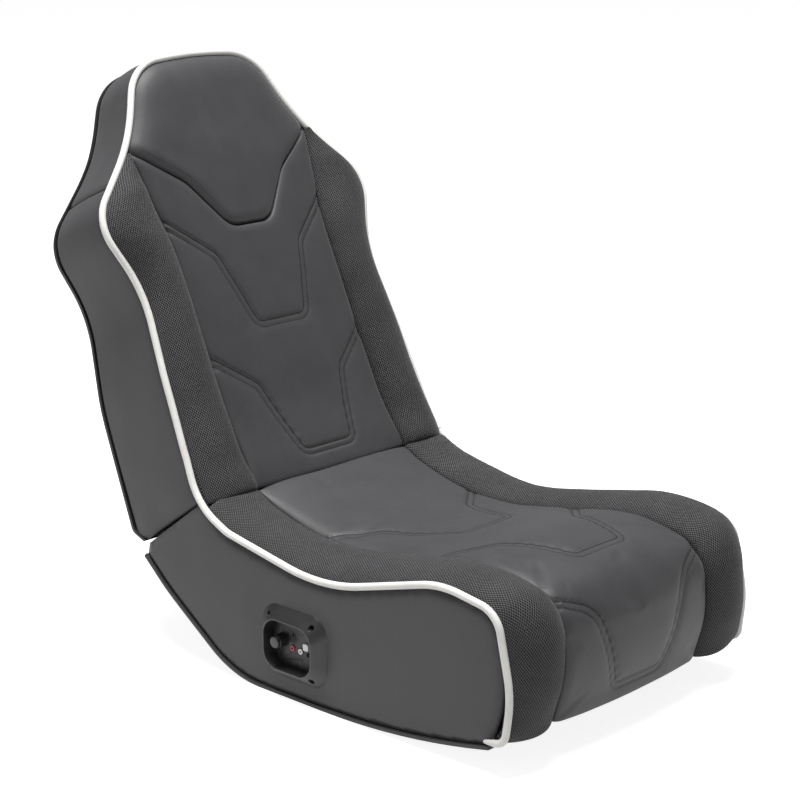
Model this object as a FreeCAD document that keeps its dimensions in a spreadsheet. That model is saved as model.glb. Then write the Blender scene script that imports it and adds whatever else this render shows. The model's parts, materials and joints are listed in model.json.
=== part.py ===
import FreeCAD, Part
import math
import os

from FreeCAD import Placement, Rotation, Vector

# Gaming rocker chair: an upholstered seat on a curved base board, a backrest that folds forward on
# two hinges, speakers behind the back bolsters and a control panel in the seat's right side.
# Millimetres. +X is the sitter's left, the sitter faces -Y, +Z is up, and the chair stands on Z = 0.
# The backrest is drawn upright in its own frame, (x, depth behind the fold axis, height above it),
# and is then leaned back about the fold axis.

SIZES = [
    # The fold axis and the lean of the back
    ("fold_reach", 114, "fold axis behind the middle of the footprint"),
    ("fold_height", 238, "fold axis above the floor"),
    ("back_lean", 25, "lean of the back from upright, degrees"),
    ("back_foot_fall", 9.6, "slope of the back's lower face, degrees"),
    ("fold_gap_angle", 2.7, "wedge between the back's lower face and the seat's rear face, degrees"),
    # Widths shared by the seat and the back
    ("seat_half_width", 246, "outer face of a seat side cover"),
    ("panel_half_width", 148, "edge of the centre cushions"),
    ("sewing_gap", 0.6, "gap between two cushions along a seam"),
    ("soft_clearance", 0.3, "gap between a soft piece and a rigid one of another body"),
    ("cover_thickness", 8, "side cover, vinyl over thin foam"),
    ("side_board_thickness", 18, "seat side board"),
    ("piping_diameter", 9, "round piping"),
    ("piping_inset", 3, "piping centre inside the cover's outer face"),
    ("piping_seat", 0.3, "gap between the piping and the edge it lies on"),
    # Seat line: the sewn line between centre cushion and bolster, from the crease to the front hem
    ("seam_start_reach", 106, "seam at the crease, behind the origin"),
    ("seam_start_height", 228, "seam at the crease"),
    ("dip_reach", 53, "lowest stretch of the seat, in front of the origin"),
    ("dip_height", 183, "corner under the seat's dip"),
    ("dip_radius", 400, "radius of the seat's dip"),
    ("crest_reach", 335, "thigh crest in front of the origin"),
    ("crest_height", 231.5, "corner over the thigh crest"),
    ("crest_radius", 250, "radius of the thigh crest"),
    ("nose_reach", 438, "front nose of the seat"),
    ("nose_height", 202, "corner at the front nose"),
    ("nose_radius", 58, "radius of the front nose"),
    ("front_reach", 444, "front face of the seat"),
    ("front_height", 110, "fullest height of the front face"),
    ("front_radius", 150, "radius of the front face"),
    ("hem_setback", 20, "front hem behind the front face"),
    ("hem_height", 40, "front hem above the floor"),
    ("foam_depth", 55, "seam above the deck board"),
    ("centre_crown", 6, "middle of the seat cushion above its seam"),
    ("bolster_crown", 17, "rise of a seat bolster above its seam at the nose's start"),
    ("ridge_share", 0.5, "bolster's ridge, as a share of its width from the seam"),
    # Side piping of the seat, as offsets from the seat line
    ("piping_rear_reach", 66, "bend of the piping in front of the fold, behind the origin"),
    ("piping_rear_height", 203, "bend of the piping in front of the fold"),
    ("piping_rear_radius", 60, "radius of that bend"),
    ("piping_dip_shift", 62, "piping's dip in front of the seam's"),
    ("piping_drop", 13, "piping below the seam at the dip"),
    ("piping_crest_shift", 17, "piping's crest behind the seam's"),
    ("piping_crest_drop", 5.5, "piping below the seam at the crest"),
    ("piping_nose_shift", 28, "piping behind the seam at the nose"),
    ("piping_nose_rise", 10, "piping above the seam's corner at the nose"),
    ("piping_nose_radius", 38, "radius of the piping at the nose"),
    ("piping_setback", 11, "piping behind the seam down the front"),
    ("piping_end_setback", 16, "piping behind the seam at its end"),
    ("piping_end_height", 36, "end of the piping above the floor"),
    # Rocker base
    ("base_thickness", 6, "rocker base board"),
    ("base_overhang", 1.5, "base board outside the covers"),
    ("base_front_reach", 402, "front end of the base board"),
    ("base_front_height", 33, "front end of the base board above the floor"),
    ("base_front_corner", 257, "start of the front rise"),
    ("base_front_radius", 1250, "radius of the front rise"),
    ("base_heel_corner", 57, "start of the rear rise, behind the origin"),
    ("base_heel_radius", 172, "radius at the start of the rear rise"),
    ("base_rear_corner", 190, "steeper end of the rear rise"),
    ("base_rear_rise", 91, "start of that steeper end above the floor"),
    ("base_rear_radius", 300, "radius of the rear rise"),
    ("base_rear_reach", 236, "rear end of the base board"),
    ("base_rear_height", 131, "rear end of the base board above the floor"),
    ("seat_rear_setback", 3, "rear edge of the seat cover in front of the base board's end"),
    ("board_inset", 4, "seat side board inside its cover's outline"),
    # Boards inside
    ("deck_thickness", 12, "deck board of the seat"),
    ("rail_thickness", 18, "rails of the seat"),
    ("back_rail_thickness", 12, "rails of the back"),
    ("front_board_thickness", 5, "front board of the back"),
    ("rail_depth", 90, "rails at the fold"),
    ("rail_start", 17, "rails at the fold, behind the fold axis"),
    ("middle_rail_reach", 160, "middle rail of the seat in front of the origin"),
    ("deck_rear_reach", 130, "rear end of the deck behind the origin"),
    ("side_tuck", 5, "side of a cushion drawn in at its foot"),
    ("rib_thickness", 9, "ribs of the back"),
    ("rib_inset", 180, "inner face of a rib"),
    ("rib_height", 335, "top of a rib"),
    ("shoulder_rail_height", 462, "underside of the shoulder rail"),
    ("shoulder_rail_half_width", 165, "end of the shoulder rail"),
    ("head_rail_height", 585, "underside of the head rail"),
    ("head_rail_half_width", 100, "end of the head rail"),
    ("middle_rail_half_width", 200, "end of the back's middle rail"),
    ("foot_rail_half_width", 222, "end of the back's foot rail"),
    ("front_board_start", 16, "lower edge of the back's front board"),
    ("board_side_gap", 0.2, "gap between a board's edge and the cover round it"),
    ("rear_panel_thickness", 5, "rear panel board"),
    # Back outline seen from the front, half widths and heights above the fold axis
    ("back_foot_half_width", 239, "back at its foot"),
    ("back_low_half_width", 232.5, "back above its foot"),
    ("back_low_height", 175, "where the back starts to narrow"),
    ("waist_half_width", 221, "back at its waist"),
    ("waist_height", 298, "waist"),
    ("shoulder_half_width", 264, "corner of the shoulder"),
    ("shoulder_height", 404, "shoulder"),
    ("neck_half_width", 164, "corner of the neck"),
    ("neck_height", 509, "neck"),
    ("crown_half_width", 114, "corner of the head"),
    ("crown_height", 620, "head beside the middle"),
    ("top_height", 628.5, "head at the middle"),
    # Back depths behind the fold axis
    ("pad_depth", 16, "front board's face, on which the back's foam lies"),
    ("back_foot_depth", 155, "lower rear corner"),
    ("back_heel_depth", 173, "heel of the back"),
    ("back_heel_drop", 8, "heel below the fold axis"),
    ("back_low_depth", 168, "back at a quarter of its height"),
    ("shoulder_depth", 132, "back at the shoulder"),
    ("neck_depth", 106, "back at the neck"),
    ("head_depth", 91, "back at the head"),
    ("head_seam_height", 450, "seam between lower cover and head cover"),
    ("panel_lip", 1, "rear panel outside the covers"),
    ("heel_radius", 12, "radius of the heel"),
    ("rear_low_radius", 500, "radius of the rear face near its foot"),
    ("rear_shoulder_radius", 150, "radius of the rear face at the shoulder"),
    ("rear_neck_radius", 80, "radius of the rear face at the neck"),
    ("back_low_radius", 600, "radius of the outline above the foot"),
    ("waist_radius", 120, "radius of the waist"),
    ("shoulder_radius", 50, "radius of the shoulder"),
    ("neck_radius", 50, "radius of the neck"),
    ("crown_radius", 36, "radius of the head's corner"),
    ("top_radius", 700, "radius over the head"),
    ("back_tuck", 2, "side of a back cushion drawn in at its foot"),
    # Back foam
    ("back_seam_depth", 8, "seam behind the fold axis"),
    ("back_crown", 4, "centre cushion's rise above its seam"),
    ("back_bolster_crown", 20, "bolster's rise above its seam"),
    ("back_foam_start", 6, "lower end of the back's foam"),
    ("seam_flare_height", 350, "where the back's seams start to spread"),
    ("back_bolster_top", 486, "upper tip of a back bolster"),
    ("head_foam_top", 618, "upper end of the head cushion"),
    ("yoke_half_width", 171, "yoke seam at the bolsters"),
    ("yoke_start_height", 493, "yoke seam at the bolsters"),
    ("yoke_knee_half_width", 93, "knee of the yoke seam"),
    ("yoke_knee_height", 437, "knee of the yoke seam"),
    ("yoke_foot_half_width", 39, "flat foot of the yoke seam"),
    ("yoke_foot_height", 363, "flat foot of the yoke seam"),
    # Chevrons
    ("channel_width", 9, "sewn channel of a chevron"),
    ("channel_depth", 2.5, "sewn channel below the crown"),
    ("chevron_knee_half_width", 79, "knee of a chevron"),
    ("chevron_foot_half_width", 45, "flat foot of a chevron"),
    ("upper_chevron_start", 388, "upper chevron of the back at the seam"),
    ("upper_chevron_knee", 327, "upper chevron of the back at its knee"),
    ("upper_chevron_foot", 220, "upper chevron of the back at its foot"),
    ("lower_chevron_start", 188, "lower chevron of the back at the seam"),
    ("lower_chevron_knee", 134, "lower chevron of the back at its knee"),
    ("lower_chevron_foot", 28, "lower chevron of the back at its foot"),
    ("rear_chevron_start", 21, "rear chevron of the seat at the seam, in front of the origin"),
    ("rear_chevron_knee", 75, "rear chevron of the seat at its knee"),
    ("rear_chevron_foot", 180, "rear chevron of the seat at its foot"),
    ("front_chevron_start", 207, "front chevron of the seat at the seam"),
    ("front_chevron_knee", 267, "front chevron of the seat at its knee"),
    ("front_chevron_foot", 369, "front chevron of the seat at its foot"),
    ("face_chevron_start", 205, "front face's chevron at the seam, above the floor"),
    ("face_chevron_knee", 183, "front face's chevron at its knee"),
    ("face_chevron_foot", 72, "front face's chevron at its foot"),
    # Fold hinges
    ("hinge_half_width", 168, "middle of a hinge from the chair's middle"),
    ("knuckle_length", 11, "hinge knuckle"),
    ("knuckle_gap", 0.5, "gap between knuckles"),
    ("knuckle_radius", 4.5, "hinge knuckle"),
    ("pin_radius", 2.5, "hinge pin"),
    ("pin_clearance", 0.05, "radial clearance round a pin"),
    ("leaf_thickness", 2, "hinge leaf"),
    ("leaf_reach", 42, "hinge leaf from the fold axis"),
    ("leaf_setback", 0.5, "leaf behind its own face of the fold gap"),
    # Speakers
    ("speaker_half_width", 196, "speaker centre from the chair's middle"),
    ("speaker_height", 395, "speaker centre above the fold axis"),
    ("speaker_radius", 32, "speaker basket"),
    ("speaker_flange", 5, "flange round the basket"),
    ("speaker_depth", 34, "speaker from flange to magnet"),
    ("speaker_wall", 1.5, "sheet of the basket"),
    ("magnet_radius", 20, "magnet"),
    ("magnet_depth", 12, "magnet"),
    ("cone_clearance", 0.5, "cone inside the basket's rim"),
    ("cone_wall", 0.9, "cone's paper, drawn thick"),
    ("dust_cap_radius", 9, "dust cap"),
    # Control panel
    ("panel_reach", 64, "middle of the control panel in front of the origin"),
    ("panel_height", 78, "middle of the control panel above the floor"),
    ("bezel_width", 120, "bezel's foot along the chair"),
    ("bezel_height", 100, "bezel's foot, upright"),
    ("bezel_corner", 28, "corner radius of the bezel's foot"),
    ("bezel_proud", 16, "rim in front of the side cover"),
    ("rim_width", 91, "rim along the chair"),
    ("rim_height", 71, "rim, upright"),
    ("rim_corner", 25, "corner radius of the rim"),
    ("rim_wall", 2, "wall of the rim"),
    ("tub_wall", 3, "wall of the bezel's tub"),
    ("tub_clearance", 0.5, "gap between the tub and the cut-out"),
    ("tub_depth", 20, "tub behind the cover's outer face"),
    ("screw_spacing_width", 79.5, "bezel screws along the chair"),
    ("screw_spacing_height", 74, "bezel screws, upright"),
    ("screw_pocket_radius", 3.8, "pocket of a bezel screw"),
    ("screw_pocket_floor", 4, "bottom of a pocket in front of the side cover"),
    ("screw_head_radius", 3.2, "bezel screw head"),
    ("screw_head_height", 2, "bezel screw head"),
    ("screw_shank_radius", 1.5, "bezel screw shank"),
    ("screw_length", 20, "bezel screw shank"),
    ("screw_slot_width", 0.8, "cross recess of a screw"),
    ("plate_thickness", 3, "control plate"),
    ("plate_recess", 2, "control plate behind the cover's outer face"),
    ("knob_skirt_radius", 9.5, "volume knob at its foot"),
    ("knob_radius", 8, "volume knob at its face"),
    ("knob_length", 18, "volume knob"),
    ("knob_flutes", 20, "flutes round the knob"),
    ("knob_flute_radius", 0.8, "flute"),
    ("knob_shift", 23, "knob behind the middle of the panel"),
    ("knob_rise", 2.5, "knob above the middle of the panel"),
    ("knob_wall", 2, "face and wall of the knob"),
    ("shaft_radius", 3, "potentiometer shaft"),
    ("shaft_clearance", 0.08, "clearance round the shaft"),
    ("running_gap", 0.5, "gap between a moving control and the plate"),
    ("potentiometer_radius", 8, "potentiometer housing"),
    ("jack_radius", 4, "audio jack"),
    ("jack_bore_radius", 1.6, "audio jack bore"),
    ("jack_proud", 1.5, "jack in front of the plate"),
    ("jack_bore_depth", 12, "bore of a jack"),
    ("red_jack_shift", 6.4, "red jack behind the middle of the panel"),
    ("red_jack_rise", -5.8, "red jack above the middle of the panel"),
    ("white_jack_shift", -9, "white jack behind the middle of the panel"),
    ("white_jack_rise", -6.8, "white jack above the middle of the panel"),
    ("headphone_radius", 3.4, "headphone jack collar"),
    ("headphone_bore_radius", 1.8, "headphone jack bore"),
    ("headphone_shift", 4.8, "headphone jack behind the middle of the panel"),
    ("headphone_rise", 12.8, "headphone jack above the middle of the panel"),
    ("inlet_radius", 3.6, "power inlet collar"),
    ("inlet_bore_radius", 2.6, "power inlet bore"),
    ("inlet_pin_radius", 0.8, "power inlet's centre pin"),
    ("inlet_shift", -22.4, "power inlet behind the middle of the panel"),
    ("inlet_rise", -8.5, "power inlet above the middle of the panel"),
    ("lens_radius", 1.5, "indicator lens"),
    ("lens_shift", -9, "indicator behind the middle of the panel"),
    ("lens_rise", -20.5, "indicator above the middle of the panel"),
    ("collar_proud", 0.4, "small collars in front of the plate"),
    ("button_side", 10, "push button, square"),
    ("button_corner", 3, "corner radius of the button"),
    ("button_proud", 3, "button in front of the plate at rest"),
    ("button_stem", 5, "button behind the plate's face"),
    ("button_clearance", 0.3, "clearance round the button"),
    ("button_travel", 1.2, "travel of the button"),
    ("button_stop_gap", 0.3, "gap between a pressed button and its switch"),
    ("button_shift", -20.2, "button behind the middle of the panel"),
    ("button_rise", 2.2, "button above the middle of the panel"),
    ("board_gap", 13, "amplifier board behind the control plate"),
    ("amplifier_thickness", 1.6, "amplifier board"),
    ("board_screw_radius", 4, "head of a rear panel screw"),
    ("board_screw_height", 1.6, "head of a rear panel screw"),
    ("board_screw_shank", 1.8, "shank of a rear panel screw"),
    ("board_screw_count", 4, "rear panel screws on each rib"),
    ("board_screw_start", 40, "lowest rear panel screw"),
    ("board_screw_spacing", 80, "spacing of the rear panel screws"),
]

doc = FreeCAD.newDocument("gaming_rocker_chair")
sheet = doc.addObject("Spreadsheet::Sheet", "Sizes")
for row, (alias, value, note) in enumerate(SIZES, start=1):
    sheet.set("A%d" % row, str(value))
    sheet.setAlias("A%d" % row, alias)
    sheet.set("B%d" % row, note)
doc.recompute()


def size(alias):
    """A driving dimension, read back from the sheet."""
    return float(sheet.get(alias))


node_objects = []


def keep(obj, label):
    """Marks an object of the document as a sub-part with its own name."""
    obj.Label = label
    node_objects.append(obj)
    return obj


# Outlines. A corner is (u, v, radius); a path rounds its corners with arcs.


def turn_at(before, corner, after):
    """Unit directions into and out of a corner, and the angle between them."""
    into = Vector(corner[0] - before[0], corner[1] - before[1], 0).normalize()
    out = Vector(after[0] - corner[0], after[1] - corner[1], 0).normalize()
    return into, out, into.getAngle(out)


def rounded(corners, closed=True):
    """Straight and arc edges along the corners, in the plane of the first two axes."""
    count = len(corners)
    places = range(count) if closed else range(1, count - 1)
    stops = {}
    for index in places:
        corner = corners[index]
        into, out, angle = turn_at(corners[index - 1], corner, corners[(index + 1) % count])
        point = Vector(corner[0], corner[1], 0)
        if corner[2] <= 0 or angle < 1e-6:
            stops[index] = (point, None, point)
            continue
        tangent = corner[2] * math.tan(angle / 2)
        inward = (out - into).normalize()
        middle = point + inward * (corner[2] / math.cos(angle / 2) - corner[2])
        stops[index] = (point - into * tangent, middle, point + out * tangent)
    if not closed:
        for index in (0, count - 1):
            point = Vector(corners[index][0], corners[index][1], 0)
            stops[index] = (point, None, point)
    edges = []
    for index in range(count):
        start, middle, end = stops[index]
        if middle is not None:
            edges.append(Part.ArcOfCircle(start, middle, end))
        if index < count - 1 or closed:
            following = stops[(index + 1) % count][0]
            if end.distanceToPoint(following) > 1e-4:
                edges.append(Part.LineSegment(end, following))
    return edges


def parallel(corners, distance, closed=False):
    """The same corners moved by a distance to the left of the path, with radii that follow."""
    count = len(corners)
    moved = []
    for index in range(count):
        corner = corners[index]
        before = corners[index - 1] if index > 0 or closed else None
        after = corners[(index + 1) % count] if index < count - 1 or closed else None
        point = Vector(corner[0], corner[1], 0)
        if before is None or after is None:
            other = after if before is None else before
            along = Vector(other[0] - corner[0], other[1] - corner[1], 0).normalize()
            along = along if before is None else along * -1
            moved.append((point.x - along.y * distance, point.y + along.x * distance, corner[2]))
            continue
        into, out, angle = turn_at(before, corner, after)
        left = Vector(-into.y - out.y, into.x + out.x, 0)
        left = left.normalize() * (distance / math.cos(angle / 2))
        turns_left = into.x * out.y - into.y * out.x > 0
        radius = corner[2] - distance if turns_left else corner[2] + distance
        radius = max(radius, 0) if corner[2] > 0 else 0
        moved.append((point.x + left.x, point.y + left.y, radius))
    return moved


class Line:
    """A rounded path that gives points and directions at distances along it."""

    def __init__(self, corners):
        self.curves = rounded(corners, closed=False)
        self.lengths = [curve.length() for curve in self.curves]
        self.length = sum(self.lengths)

    def at(self, distance):
        """Point and unit direction at a distance from the start."""
        for curve, length in zip(self.curves, self.lengths):
            if distance <= length or curve is self.curves[-1]:
                first, last = curve.FirstParameter, curve.LastParameter
                part = min(max(distance / length, 0), 1)
                value = first + (last - first) * part
                return curve.value(value), Vector(*curve.tangent(value)[0]).normalize()
            distance -= length

    def offset_from(self, origin, normal, steps=240):
        """Distance from origin along normal to this path, at the nearest crossing."""
        best = None
        previous = None
        for step in range(steps + 1):
            point = self.at(self.length * step / steps)[0]
            gap = point - origin
            across = gap.x * normal.y - gap.y * normal.x
            if previous is not None and across * previous[1] <= 0 and across != previous[1]:
                share = previous[1] / (previous[1] - across)
                crossing = previous[0] + (point - previous[0]) * share
                reach = (crossing - origin).dot(normal)
                if best is None or abs(reach) < abs(best):
                    best = reach
            previous = (point, across)
        return best


def side_plane(point, x=0.0):
    """A point of the side outline, (forward and back, up), placed at x."""
    return Vector(x, point.x, point.y)


def front_plane(point, depth=0.0):
    """A point of the back's front outline, (across, up), placed at a depth."""
    return Vector(point.x, depth, point.y)


def face_of(edges, to_space):
    """A flat face inside closed edges, carried into space by to_space."""
    placed = []
    for edge in edges:
        first, last = edge.FirstParameter, edge.LastParameter
        ends = [to_space(edge.value(first)), to_space(edge.value(last))]
        if isinstance(edge, Part.LineSegment):
            placed.append(Part.makeLine(*ends))
        else:
            middle = to_space(edge.value((first + last) / 2))
            placed.append(Part.Arc(ends[0], middle, ends[1]).toShape())
    return Part.Face(Part.Wire(Part.__sortEdges__(placed)))


def side_prism(corners, x_low, x_high):
    """The side outline extruded across the chair."""
    face = face_of(rounded(corners), lambda point: side_plane(point, x_low))
    return face.extrude(Vector(x_high - x_low, 0, 0))


def front_prism(corners, depth_low, depth_high):
    """The back's front outline extruded backwards."""
    face = face_of(rounded(corners), lambda point: front_plane(point, depth_low))
    return face.extrude(Vector(0, depth_high - depth_low, 0))


def sketch_in(body, role, corner_lists):
    """A sketch on one of the body's own planes, with closed outlines joined end to end."""
    plane = [item for item in body.Origin.OriginFeatures if item.Role == role][0]
    sketch = body.newObject("Sketcher::SketchObject", body.Name + "_outline")
    sketch.AttachmentSupport = [(plane, "")]
    sketch.MapMode = "FlatFace"
    for corners in corner_lists:
        edges = rounded(corners)
        for edge in edges:
            if isinstance(edge, Part.LineSegment) or edge.Axis.z > 0:
                sketch.addGeometry(edge)
                continue
            halfway = (edge.FirstParameter + edge.LastParameter) / 2
            sketch.addGeometry(Part.ArcOfCircle(edge.EndPoint, edge.value(halfway), edge.StartPoint))
    return sketch


def board(label, role, corner_lists, thickness_rule, x_rule, holes=()):
    """A flat board: its outline sketched, padded by one rule from the sheet and placed by another.
    Holes are (across, up, radius)."""
    body = doc.addObject("PartDesign::Body", label + "_body")
    sketch = sketch_in(body, role, corner_lists)
    for across, up, radius in holes:
        sketch.addGeometry(Part.Circle(Vector(across, up, 0), Vector(0, 0, 1), radius))
    pad = body.newObject("PartDesign::Pad", body.Name + "_pad")
    pad.Profile = sketch
    pad.setExpression("Length", thickness_rule)
    body.setExpression(".Placement.Base.x", x_rule)
    return keep(body, label)


def feature(label, shape):
    """A sub-part whose form none of the parametric features gives."""
    obj = doc.addObject("Part::Feature", label + "_form")
    obj.Shape = shape
    return keep(obj, label)


def lean(obj):
    """Leans a piece of the back about the fold axis."""
    obj.Placement = Placement(fold_point, Rotation(Vector(-1, 0, 0), size("back_lean")))
    obj.setExpression(".Placement.Rotation.Angle", "Sizes.back_lean")
    obj.setExpression(".Placement.Base.y", "Sizes.fold_reach")
    obj.setExpression(".Placement.Base.z", "Sizes.fold_height")
    return obj


def pipe(points_path, radius):
    """A round tube along a path."""
    start = points_path.Edges[0]
    heading = start.tangentAt(start.FirstParameter)
    ring = Part.Wire(Part.makeCircle(radius, start.valueAt(start.FirstParameter), heading))
    return points_path.makePipeShell([ring], True, False)


def crowned_section(origin, normal, half_width, crown, depth, tuck):
    """A cushion's section across X: flat underneath, drawn-in sides and a crowned top."""
    across = Vector(1, 0, 0)

    def at(x, rise):
        return origin + across * x + normal * rise

    left_foot = at(-half_width + tuck, -depth)
    right_foot = at(half_width - tuck, -depth)
    left_lip = at(-half_width + tuck / 2, 0)
    right_lip = at(half_width - tuck / 2, 0)
    edges = [
        Part.makeLine(left_foot, right_foot),
        Part.Arc(right_foot, at(half_width, -depth / 2), right_lip).toShape(),
        Part.Arc(right_lip, at(0, crown), left_lip).toShape(),
        Part.Arc(left_lip, at(-half_width, -depth / 2), left_foot).toShape(),
    ]
    return Part.Wire(edges)


def bolster_section(inner_foot, inner_lip, ridge, outer_lip, outer_foot):
    """A bolster's section: flat underneath, a low inner wall and a top that arches to the piping."""
    edges = [
        Part.makeLine(inner_foot, inner_lip),
        Part.Arc(inner_lip, ridge, outer_lip).toShape(),
        Part.makeLine(outer_lip, outer_foot),
        Part.makeLine(outer_foot, inner_foot),
    ]
    return Part.Wire(edges)


def chevron_band(starts, width):
    """A chevron's closed outline, opened to one side by a width. Starts are (across, along)."""
    right = [(x, y, 0) for x, y in starts]
    left = [(-x, y, 0) for x, y in reversed(starts)]
    line = right + left
    return line + list(reversed(parallel(line, width)))


fold_point = Vector(0, size("fold_reach"), size("fold_height"))
piping_radius = size("piping_diameter") / 2
piping_x = size("seat_half_width") - size("piping_inset")
cover_inner = size("seat_half_width") - size("cover_thickness")
board_inner = cover_inner - size("side_board_thickness")

# Lines of the seat, seen from its left side, from the fold to the front hem

seat_line = [
    (size("seam_start_reach"), size("seam_start_height"), 0),
    (-size("dip_reach"), size("dip_height"), size("dip_radius")),
    (-size("crest_reach"), size("crest_height"), size("crest_radius")),
    (-size("nose_reach"), size("nose_height"), size("nose_radius")),
    (-size("front_reach"), size("front_height"), size("front_radius")),
    (-size("front_reach") + size("hem_setback"), size("hem_height"), 0),
]
piping_line = [
    (size("fold_reach"), size("fold_height"), 0),
    (size("piping_rear_reach"), size("piping_rear_height"), size("piping_rear_radius")),
    (
        -size("dip_reach") - size("piping_dip_shift"),
        size("dip_height") - size("piping_drop"),
        size("dip_radius") * 0.75,
    ),
    (
        -size("crest_reach") + size("piping_crest_shift"),
        size("crest_height") - size("piping_crest_drop"),
        size("crest_radius") * 0.6,
    ),
    (
        -size("nose_reach") + size("piping_nose_shift"),
        size("nose_height") + size("piping_nose_rise"),
        size("piping_nose_radius"),
    ),
    (
        -size("front_reach") + size("piping_setback"),
        size("front_height"),
        size("front_radius"),
    ),
    (
        -size("front_reach") + size("hem_setback") + size("piping_end_setback"),
        size("piping_end_height"),
        0,
    ),
]
base_line = [
    (-size("base_front_reach"), size("base_front_height"), 0),
    (-size("base_front_corner"), 0, size("base_front_radius")),
    (size("base_heel_corner"), 0, size("base_heel_radius")),
    (size("base_rear_corner"), size("base_rear_rise"), size("base_rear_radius")),
    (size("base_rear_reach"), size("base_rear_height"), 0),
]
base_top = parallel(base_line, size("base_thickness"))
gap_slope = math.radians(size("back_lean") + size("back_foot_fall") + size("fold_gap_angle"))


def gap_line_height(reach):
    """Height of the seat's rear face at a place behind the origin."""
    return size("fold_height") - (reach - size("fold_reach")) * math.tan(gap_slope)


def seat_side_outline(inset):
    """Closed outline of a seat side: piping line, base board's top, rear edge and fold gap."""
    top = parallel(piping_line, piping_radius + size("piping_seat") + inset)[:-1]
    rear_reach = base_top[-1][0] - size("seat_rear_setback")
    rear = (rear_reach, gap_line_height(rear_reach) - inset, 0)
    return top + base_top + [rear]


# Rocker base board

INNER_WIDTH = "2 * (Sizes.seat_half_width - Sizes.cover_thickness - Sizes.side_board_thickness)"
BASE_WIDTH = "2 * (Sizes.seat_half_width + Sizes.base_overhang)"
base_outline = base_line + list(reversed(base_top))
board("rocker_base", "YZ_Plane", [base_outline], BASE_WIDTH, "-(%s) / 2" % BASE_WIDTH)

# Seat sides: covers and boards, the right ones cut out for the control panel


def panel_window(width, height, corner):
    """Rounded rectangle about the middle of the control panel, in the side's plane."""
    y, z = -size("panel_reach"), size("panel_height")
    w, h = width / 2, height / 2
    return [(y - w, z - h, corner), (y + w, z - h, corner), (y + w, z + h, corner), (y - w, z + h, corner)]


def rim_outline(margin):
    """The rim's outline made larger by a margin all round."""
    return panel_window(
        size("rim_width") + 2 * margin, size("rim_height") + 2 * margin, size("rim_corner") + margin
    )


window_outline = rim_outline(-size("rim_wall"))
tub_outline = rim_outline(size("tub_wall") - size("rim_wall"))
tub_hole = rim_outline(size("tub_wall") - size("rim_wall") + size("tub_clearance"))
screw_places = [
    (
        -size("panel_reach") + side * size("screw_spacing_width") / 2,
        size("panel_height") + level * size("screw_spacing_height") / 2,
    )
    for side in (-1, 1)
    for level in (-1, 1)
]
cover_outline = seat_side_outline(0)
side_board_outline = seat_side_outline(size("board_inset"))
BOARD_LEFT = "Sizes.seat_half_width - Sizes.cover_thickness - Sizes.side_board_thickness"
screw_holes = [(y, z, size("screw_shank_radius")) for y, z in screw_places]
for side, cover_place, board_place, windows, holes in (
    ("left", "Sizes.seat_half_width - Sizes.cover_thickness", BOARD_LEFT, [], []),
    (
        "right",
        "-Sizes.seat_half_width",
        "Sizes.cover_thickness - Sizes.seat_half_width",
        [tub_hole],
        screw_holes,
    ),
):
    board("seat_side_cover_" + side, "YZ_Plane", [cover_outline] + windows,
          "Sizes.cover_thickness", cover_place, holes)
    board("seat_side_board_" + side, "YZ_Plane", [side_board_outline] + windows,
          "Sizes.side_board_thickness", board_place, holes)

# Deck and rails of the seat


def height_between(first, second, reach):
    """Height at a place on the straight line between two corners."""
    share = (reach - first[0]) / (second[0] - first[0])
    return first[1] + (second[1] - first[1]) * share


foam_line = parallel(seat_line, size("foam_depth"))
rail_face = -size("nose_reach") + size("foam_depth")
deck_rear = size("deck_rear_reach")
deck_line = [
    (deck_rear, height_between(foam_line[0], foam_line[1], deck_rear), 0),
    foam_line[1],
    foam_line[2],
    (rail_face, height_between(foam_line[2], foam_line[3], rail_face), 0),
]
deck_under = parallel(deck_line, size("deck_thickness"))
board("seat_deck", "YZ_Plane", [deck_line + list(reversed(deck_under))], INNER_WIDTH,
      "-(%s) / 2" % INNER_WIDTH)

base_top_path = Line(base_top)
deck_under_path = Line(deck_under)


def height_on(path, reach):
    """Height of a line above the floor at a place along the chair."""
    return path.offset_from(Vector(reach, 0, 0), Vector(0, 1, 0))


def seat_rail(label, reach, high):
    """An upright rail across the seat, from the base board to the deck, between the side boards."""
    ends = (reach, reach + size("rail_thickness"))
    low = max(height_on(base_top_path, end) for end in ends)
    rail = doc.addObject("Part::Box", label + "_box")
    rail.setExpression("Length", INNER_WIDTH)
    rail.setExpression("Width", "Sizes.rail_thickness")
    rail.Height = high - low
    rail.Placement.Base = Vector(0, reach, low)
    rail.setExpression(".Placement.Base.x", "-(%s) / 2" % INNER_WIDTH)
    return keep(rail, label)


front_rail_top = min(deck_under[-1][1], height_on(deck_under_path, rail_face + size("rail_thickness")))
seat_rail("seat_front_rail", rail_face, front_rail_top)
middle_reach = -size("middle_rail_reach")
middle_top = min(
    height_on(deck_under_path, middle_reach),
    height_on(deck_under_path, middle_reach + size("rail_thickness")),
)
seat_rail("seat_middle_rail", middle_reach, middle_top)

rail_sink = size("leaf_thickness") + size("leaf_setback")
inner_half_width = size("seat_half_width") - size("cover_thickness") - size("side_board_thickness")
gap_tilt = Rotation(Vector(1, 0, 0), -math.degrees(gap_slope))
rear_rail = doc.addObject("Part::Box", "seat_rear_rail_box")
rear_rail.setExpression("Length", INNER_WIDTH)
rear_rail.setExpression("Width", "Sizes.rail_depth")
rear_rail.setExpression("Height", "Sizes.rail_thickness")
rail_corner = Vector(-inner_half_width, size("rail_start"), -rail_sink - size("rail_thickness"))
rear_rail.Placement = Placement(fold_point + gap_tilt.multVec(rail_corner), gap_tilt)
keep(rear_rail, "seat_rear_rail")

# Seat foam: centre cushion and bolsters, laid on the deck and over the front rail

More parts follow.
